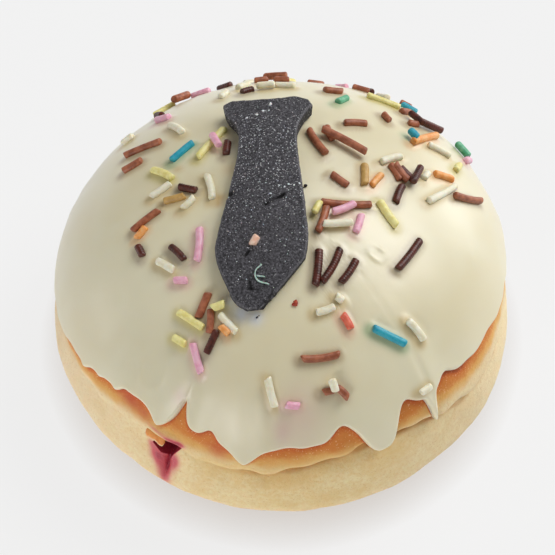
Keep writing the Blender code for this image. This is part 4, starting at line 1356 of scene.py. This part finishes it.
# %% Marks in the paste
GROOVES = [  # from x, y, to x, y, half width, depth
    (-9.6, 0.4, -4.0, 0.2, 0.14, 0.12), (-4.0, 0.2, 4.1, 2.4, 0.14, 0.12),
    (-3.0, -2.9, 0.5, -0.7, 0.2, 0.6), (-10.4, -0.4, -9.2, 0.0, 0.4, 0.5),
    (-6.5, -12.8, -6.0, -12.1, 0.3, 0.5), (-6.0, -18.9, -4.2, -19.2, 0.26, 0.4),
    (-5.8, -17.6, -5.5, -18.8, 0.26, 0.4),
]
PITS = [  # x, y, radius, depth, or with a minus height
    (-5.4, -18.0, 1.2, 0.09), (-2.0, -2.0, 1.1, -0.25), (-9.4, -0.6, 0.7, 0.2), (-4.6, -19.4, 0.9, -0.15),
]
PASTE_GRAIN = ((7.0, 0.1, 1.9), (1.4, 0.05, 4.6), (0.55, 0.035, 7.3))  # size, height, seed
CRACK_WAVER = (2.5, 0.5, 0.9)  # size, height, seed
CRUMBLED = (-2.4, -21.2, 2.6, 0.4)  # x, y, radius, depth
CUT_ROUGHNESS, CRUMBLED_ROUGHNESS = 0.05, 0.25


def groove_depth(x, y):
    """How deep the grooves and pits are at points of the plan."""
    depth = np.zeros(len(x))
    for x0, y0, x1, y1, half_width, deep in GROOVES:
        length = math.hypot(x1 - x0, y1 - y0)
        along = np.clip(((x - x0) * (x1 - x0) + (y - y0) * (y1 - y0)) / length**2, 0.0, 1.0)
        away = np.hypot(x - x0 - along * (x1 - x0), y - y0 - along * (y1 - y0))
        depth += deep * np.exp(-((away / half_width) ** 2))
    for px, py, radius, deep in PITS:
        depth += deep * np.exp(-((np.hypot(x - px, y - py) / radius) ** 2))
    return depth


def mark_paste(flat):
    """The slab's points with grain, grooves and crumbled point."""
    x, y, z = flat.T
    top = np.clip(z / (TIE_SLAB / 2), 0.0, 1.0)
    waver_size, waver_height, waver_seed = CRACK_WAVER
    drop = groove_depth(x, y + waver_height * unevenness(flat, waver_size, waver_seed))
    cx, cy, radius, deep = CRUMBLED
    crumbled = np.exp(-((np.hypot(x - cx, y - cy) / radius) ** 2))
    drop = drop + deep * crumbled * np.abs(unevenness(flat, 0.8, 3.3, 2))
    drop = drop - sum(tall * unevenness(flat, size, seed, 2) for size, tall, seed in PASTE_GRAIN)
    rough = CUT_ROUGHNESS + CRUMBLED_ROUGHNESS * crumbled
    flat = flat.copy()
    flat[:, 2] -= drop * top
    flat[:, 0] += rough * unevenness(flat, 0.9, 6.1, 2)
    flat[:, 1] += rough * unevenness(flat, 0.9, 8.8, 2)
    return flat


def lay_paste(flat):
    """The slab's points carried onto the dome."""
    thick = np.interp(flat[:, 1], *zip(*TIE_THICKNESS))
    share = flat[:, 2] / TIE_SLAB + 0.5
    laid = []
    for (x, y, _), rise in zip(flat.tolist(), (TIE_LIFT + share * thick).tolist()):
        point, normal = ground(x, y)
        laid.append(point + normal * rise)
    return np.array(laid)


flat_paste = positions(tie_mesh)
move_to(tie_mesh, lay_paste(mark_paste(flat_paste)))
mark(tie_mesh, "plan_y", flat_paste[:, 1])
mark(tie_mesh, "on_top", np.clip(flat_paste[:, 2] / (TIE_SLAB / 2), 0.0, 1.0))
mark(tie_mesh, "groove", groove_depth(flat_paste[:, 0], flat_paste[:, 1]))
tie = add_piece("necktie_paste", tie_mesh)
tie_height = positions(tie_mesh)[:, 2].max()
print("necktie", len(tie.data.polygons), "faces, up to", round(tie_height, 1), "mm high")

# %% [markdown]
# Black paste is a deep grey with a hint of violet, matt, and dusted with sugar: dense white specks across
# its middle, fewer on the knot and few near the point. Two sizes of scattered points make the specks, and
# clouds thin them out.

# %% Paste finish
paste_finish = Finish("black_paste", Roughness=0.66, IOR=1.45)
grain = paste_finish.clouds(0.4, 3.0, 0.65)
on_top = paste_finish.stored("on_top")
plan_y = paste_finish.stored("plan_y")
dusted = plan_y.between(-8.0, 6.0) * 0.7 + 0.3
dusted = dusted - plan_y.between(13.0, 20.0) * 0.45
patchy = paste_finish.clouds(3.0, 3.0).between(0.26, 0.56)
fine_specks = paste_finish.specks(0.45).between(0.32, 0.17) * paste_finish.clouds(0.8).between(0.36, 0.52)
big_specks = paste_finish.specks(1.1).between(0.16, 0.08) * paste_finish.clouds(2.0).between(0.36, 0.46)
sugar = (fine_specks + big_specks) * dusted * patchy
paste = paste_finish.layered(picture(36, 35, 38), [(grain.between(0.35, 0.68), (90, 88, 94))])
paste = paste_finish.mix(on_top.between(0.4, 0.9), picture(36, 34, 38), paste)
worn_bevel = on_top.between(0.7, 0.85) * on_top.between(1.0, 0.94)
# painted shade: the paste is darker in its grooves
groove_shade = paste_finish.stored("groove").between(0.1, 0.4)
layers = [(worn_bevel * 0.2, (150, 148, 152)), (sugar * 0.95, (206, 206, 208)), (groove_shade, (16, 15, 17))]
paste = paste_finish.layered(paste, layers)
paste_finish.feed("Base Color", paste)
paste_finish.feed("Roughness", 0.72 - sugar * 0.25)
paste_finish.relief(grain + sugar * 0.5, 0.16)
tie.data.materials.append(paste_finish.material)
print("finish", paste_finish.material.name, "has", len(paste_finish.tree.nodes), "nodes")

# %% [markdown]
# Strand sugar is smooth and slightly waxy. One function gives every colour its finish: a body colour, a
# second one in the clouds, and a little scattering for the pale ones. Dark ones shine more.

# %% Strand finishes
STRAND_COLOURS = {  # body, clouds, roughness, scattering
    "milk": ((178, 108, 76), (142, 78, 52), 0.42, 0.1),
    "dark": ((98, 44, 32), (62, 28, 20), 0.34, 0.0),
    "cream": ((242, 238, 218), (234, 227, 196), 0.4, 0.5),
    "yellow": ((242, 234, 166), (230, 218, 130), 0.4, 0.35),
    "orange": ((246, 186, 124), (240, 158, 78), 0.4, 0.35),
    "amber": ((206, 168, 100), (190, 150, 84), 0.42, 0.35),
    "red": ((232, 120, 92), (214, 92, 70), 0.4, 0.3),
    "pink": ((243, 192, 208), (234, 166, 190), 0.4, 0.35),
    "blue": ((58, 172, 190), (22, 150, 176), 0.36, 0.2),
    "green": ((80, 172, 128), (130, 196, 160), 0.4, 0.25),
    "salmon": ((250, 216, 196), (238, 184, 156), 0.5, 0.3),
}


def strand_finish(colour):
    """The finish of one colour of strands."""
    body, second, rough, scattering = STRAND_COLOURS[colour]
    made = Finish(
        f"strand_{colour}", Roughness=rough, Subsurface_Weight=scattering, Subsurface_Scale=0.7 * MM,
        Subsurface_Radius=(1.0, 0.8, 0.6), IOR=1.5,
    )
    share = made.clouds(1.2, 3.0).between(0.35, 0.68)
    made.feed("Base Color", made.mix(share, picture(*body), picture(*second)))
    made.relief(made.clouds(0.35, 3.0), 0.05)
    return made.material


for colour, piece in strand_pieces.items():
    piece.data.materials.append(strand_finish(colour))
print("finishes for", len(strand_pieces), "colours of strands")

# %% [markdown]
# Crumbs make food look real. A bit of a salmon strand and a pale green shred lie on the necktie, flakes of
# sugar are scattered over its upper part, black crumbs broke off its point, and a red chip lies beside it.

# %% Bits on and beside the necktie
SALMON_BIT = (-5.0, -10.7, 56.0, 2.0)  # middle in plan, heading, length
SALMON_RISE, SALMON_TILT, SALMON_SPACING = 0.35, 0.12, 0.25
SHRED = [(-3.8, -15.3), (-4.9, -16.5), (-4.7, -17.9), (-2.4, -18.9)]
SHRED_BRANCH = [(-4.7, -17.3), (-3.2, -17.6)]
SHRED_THICKNESS = 0.32
SHRED_RISE, SHRED_SHARE = (0.45, 0.8), (1.0, 0.75)  # low and thick, high and thin, by turns
LARGE_FLAKES = [  # x, y, size
    (-2.3, 21.8, 1.0), (-4.9, 18.8, 0.8), (-3.7, 19.9, 0.65), (-2.6, 20.0, 0.45), (-6.8, 18.2, 0.5),
    (-0.6, 1.0, 0.5), (0.4, 0.6, 0.45), (1.2, 1.2, 0.6), (2.2, 1.0, 0.4), (3.2, 1.4, 0.5), (-2.2, -0.9, 0.6),
]
SMALL_FLAKES = 420
FLAKES_X, FLAKES_Y = (-11.0, 5.0), (-20.0, 22.0, 12.0)  # least and most, and where most of them lie
FLAKE_SIZES = (0.1, 0.26)
BLACK_CRUMBS = 16
CRUMB_SIZES = (0.25, 0.6)
CRUMBS_X, CRUMBS_REACH = -2.6, 2.2
POINT_CORNER, POINT_SLOPE, CRUMBS_STRAY = (-4.2, -22.9), 0.95, 0.3  # the cut edge beside the point
EDGE_CRUMBS = [(4.35, 2.7, 0.8), (3.95, 2.3, 0.5)]
RED_CHIP = [(2.5, -21.2, 1.3), (2.1, -21.5, 0.8)]
CRUMB_SQUASH, CRUMB_ROUGHNESS = (0.6, 1.0), 0.1
CRUMB_RISE = 0.3

tie_tree = BVHTree.FromPolygons(positions(tie_mesh).tolist(), [p.vertices[:] for p in tie_mesh.polygons])


def tie_top(x, y):
    """Point on the necktie's top, or on the icing where the necktie isn't."""
    hit, normal, _, _ = tie_tree.ray_cast(Vector((x, y, RAY_START)), Vector((0.0, 0.0, -1.0)))
    return (hit, normal) if hit else ground(x, y)


def crumb(shape, middle, normal, size, draw, flat=0.5):
    """Adds one angular crumb to a mesh under construction."""
    squash = Matrix.Diagonal((1.0, draw.uniform(*CRUMB_SQUASH), flat, 1.0))
    turn = Matrix.Rotation(draw.uniform(0, 2 * math.pi), 4, "Z")
    face = normal.to_track_quat("Z", "Y").to_matrix().to_4x4()
    matrix = Matrix.Translation(middle * MM) @ face @ turn @ squash
    made = bmesh.ops.create_icosphere(shape, subdivisions=1, radius=size / 2 * MM, matrix=matrix)
    for vertex in made["verts"]:
        vertex.co += Vector([draw.uniform(-1, 1) for _ in range(3)]) * size * CRUMB_ROUGHNESS * MM


def crumbs_piece(name, listed, draw, flat=0.5):
    """One mesh of crumbs, each given by x, y and size."""
    shape = bmesh.new()
    for x, y, size in listed:
        middle, normal = tie_top(x, y)
        crumb(shape, middle + normal * size * flat * CRUMB_RISE, normal, size, draw, flat)
    bmesh.ops.recalc_face_normals(shape, faces=shape.faces)
    mesh = bpy.data.meshes.new(name)
    shape.to_mesh(mesh)
    shape.free()
    return add_piece(name, mesh)


draw = random.Random(SEED)
small = []
while len(small) < SMALL_FLAKES:
    x, y = draw.uniform(*FLAKES_X), draw.triangular(*FLAKES_Y)
    if tie_tree.ray_cast(Vector((x, y, RAY_START)), Vector((0.0, 0.0, -1.0)))[0]:
        small.append((x, y, draw.uniform(*FLAKE_SIZES)))
flakes = crumbs_piece("sugar_flakes", LARGE_FLAKES + small, draw, 0.35)
broken = []
for _ in range(BLACK_CRUMBS):
    broken.append((CRUMBS_X + draw.uniform(-CRUMBS_REACH, CRUMBS_REACH), draw.uniform(*CRUMB_SIZES)))
along_the_cut = []
for x, size in broken:
    y = POINT_CORNER[1] + (x - POINT_CORNER[0]) * POINT_SLOPE + draw.uniform(-CRUMBS_STRAY, CRUMBS_STRAY)
    along_the_cut.append((x, y, size))
black_crumbs = crumbs_piece("paste_crumbs", along_the_cut + EDGE_CRUMBS, draw, 0.7)
red_chip = crumbs_piece("red_chip", RED_CHIP, draw, 0.6)
print(len(small), "small flakes and", len(broken), "black crumbs")

# %% [markdown]
# The shred is a thin wisp of another decoration that caught on the paste. A bevelled curve draws it in one
# stroke. The salmon bit uses the strands' own function.

# %% Shred and salmon bit


def wisp(name, routes):
    """Thin bent tubes over the necktie, joined in one mesh."""
    curve = bpy.data.curves.new(name, "CURVE")
    curve.dimensions = "3D"
    curve.bevel_depth = SHRED_THICKNESS / 2 * MM
    curve.bevel_resolution = 3
    curve.use_fill_caps = True
    curve.resolution_u = 6
    for route in routes:
        spline = curve.splines.new("BEZIER")
        spline.bezier_points.add(len(route) - 1)
        for number, (point, (x, y)) in enumerate(zip(spline.bezier_points, route)):
            at, normal = tie_top(x, y)
            point.co = (at + normal * SHRED_THICKNESS * SHRED_RISE[number % 2]) * MM
            point.handle_left_type = point.handle_right_type = "AUTO"
            point.radius = SHRED_SHARE[number % 2]
    thing = bpy.data.objects.new(name + "_curve", curve)
    scene.collection.objects.link(thing)
    mesh = evaluated_mesh(thing)
    bpy.data.objects.remove(thing)
    shape = bmesh.new()
    shape.from_mesh(mesh)
    bmesh.ops.remove_doubles(shape, verts=shape.verts, dist=0.01 * MM)
    shape.to_mesh(mesh)
    shape.free()
    mesh.name = name
    return add_piece(name, mesh)


def salmon_bit():
    """The broken strand on the necktie."""
    x, y, heading, length = SALMON_BIT
    at, normal = tie_top(x, y)
    turn = math.radians(heading)
    ahead = Vector((math.cos(turn), math.sin(turn), 0.0))
    ahead = (ahead - normal * ahead.dot(normal)).normalized() + normal * SALMON_TILT
    middle = at + normal * SALMON_RISE
    start, end = middle - ahead * length / 2, middle + ahead * length / 2
    shape = bmesh.new()
    strand_tube(shape, start, end, normal, draw, SALMON_SPACING, False)
    bmesh.ops.recalc_face_normals(shape, faces=shape.faces)
    mesh = bpy.data.meshes.new("strand_on_tie")
    shape.to_mesh(mesh)
    shape.free()
    return add_piece("strand_on_tie", mesh)


shred = wisp("pale_shred", [SHRED, SHRED_BRANCH])
salmon = salmon_bit()
print("shred", len(shred.data.polygons), "faces; salmon bit", len(salmon.data.polygons), "faces")

# %% [markdown]
# The small bits get plain finishes of their own, each with its clouds and relief, because even a crumb that
# is one flat colour looks like a dead pixel.

# %% Finishes of the small bits


def bit_finish(name, first, second, rough, scattering=0.0):
    """A finish for crumbs: two colours in fine clouds."""
    made = Finish(name, Roughness=rough, Subsurface_Weight=scattering, Subsurface_Scale=0.5 * MM)
    share = made.clouds(0.5, 2.0).between(0.35, 0.65)
    made.feed("Base Color", made.mix(share, picture(*first), picture(*second)))
    made.relief(made.clouds(0.3, 2.0), 0.06)
    return made.material


flakes.data.materials.append(bit_finish("sugar_flake", (252, 252, 253), (228, 228, 232), 0.4, 0.2))
black_crumbs.data.materials.append(bit_finish("paste_crumb", (40, 38, 42), (22, 21, 24), 0.7))
red_chip.data.materials.append(bit_finish("red_chip", (190, 80, 50), (160, 50, 38), 0.5))
shred.data.materials.append(bit_finish("pale_shred", (196, 218, 208), (160, 192, 182), 0.5, 0.2))
salmon.data.materials.append(strand_finish("salmon"))
print("five finishes for the small bits")

# %% [markdown]
# Every piece rides on the one body of the model. The solids that the bun, coat, jam and necktie replace
# are hidden, and each piece's slot is listed beside it.

# %% Pieces and their solids
REPLACED = {bun: "dough", coat: "icing", jam: "jam", tie: "necktie"}
SLOTS = {
    bun: "crust", flap: "crust", coat: "icing", jam: "jam", tie: "black_paste", black_crumbs: "black_paste",
    flakes: "sugar_strands", red_chip: "sugar_strands", shred: "sugar_strands", salmon: "sugar_strands",
}
SLOTS.update({piece: "sugar_strands" for piece in strand_pieces.values()})
for piece, node in REPLACED.items():
    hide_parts(node)
for piece, slot in SLOTS.items():
    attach(piece, "root")
print(len(SLOTS), "pieces")

# %% [markdown]
# The doughnut stood on a white table in a white room, and most of the light came from the upper right. Six
# soft squares stand in for that: a strong one, one from above, one from behind and weaker ones at the left
# and in front. The floor glows like a light table, which keeps the shadow faint, and a contact shadow is
# painted into its glow where the doughnut hides the sky from it.

# %% Floor and light
FLOOR_SIZE = 6.0
FLOOR_GLOW, FLOOR_SHADE = 0.81, 0.07
CONTACT_REACH = 9.0
CONTACT_SHADOW_COLOUR = (0.64, 0.59, 0.54, 1.0)
WHITE = (1.0, 1.0, 1.0, 1.0)
SKY_STRENGTH = 0.12
LIGHTS_AIM = Vector((0, 0, 20))
LIGHTS = [  # name, place, size, power
    ("key_light", (880, 430, 1080), 760, 10.0), ("top_light", (420, 640, 1050), 600, 4.8),
    ("back_light", (1080, 920, 260), 600, 4.6), ("high_fill", (-900, -100, 1100), 800, 1.2),
    ("low_fill", (-620, -1180, 360), 600, 5.7), ("left_light", (-1300, 50, 160), 500, 1.8),
]

floor_mesh = bpy.data.meshes.new("floor")
side = FLOOR_SIZE / 2
floor_corners = [(-side, -side, 0), (side, -side, 0), (side, side, 0), (-side, side, 0)]
floor_mesh.from_pydata(floor_corners, [], [(0, 1, 2, 3)])
floor = bpy.data.objects.new("floor", floor_mesh)
scene.collection.objects.link(floor)
floor_finish = Finish("white_table", Roughness=0.9, Emission_Strength=FLOOR_GLOW)
floor_finish.feed("Base Color", (FLOOR_SHADE, FLOOR_SHADE, FLOOR_SHADE, 1.0))
reach = {"Distance": CONTACT_REACH * MM}
# painted contact shadow: the floor's glow darkens where the doughnut hides the sky
open_sky = floor_finish.node("ShaderNodeAmbientOcclusion", {"samples": 12}, reach, 1)
floor_finish.feed("Emission Color", floor_finish.mix(open_sky, CONTACT_SHADOW_COLOUR, WHITE))
floor.data.materials.append(floor_finish.material)

world = bpy.data.worlds.new("white_room")
scene.world = world
world.use_nodes = True
background = world.node_tree.nodes["Background"]
background.inputs["Color"].default_value = WHITE
background.inputs["Strength"].default_value = SKY_STRENGTH


def soft_light(name, place_mm, size_mm, power):
    """A square soft light that faces the doughnut."""
    data = bpy.data.lights.new(name, "AREA")
    data.shape = "SQUARE"
    data.size = size_mm * MM
    data.energy = power
    thing = bpy.data.objects.new(name, data)
    scene.collection.objects.link(thing)
    thing.location = Vector(place_mm) * MM
    thing.rotation_euler = (LIGHTS_AIM - Vector(place_mm)).to_track_quat("-Z", "Y").to_euler()


for light in LIGHTS:
    soft_light(*light)
scene.view_settings.view_transform = "Standard"
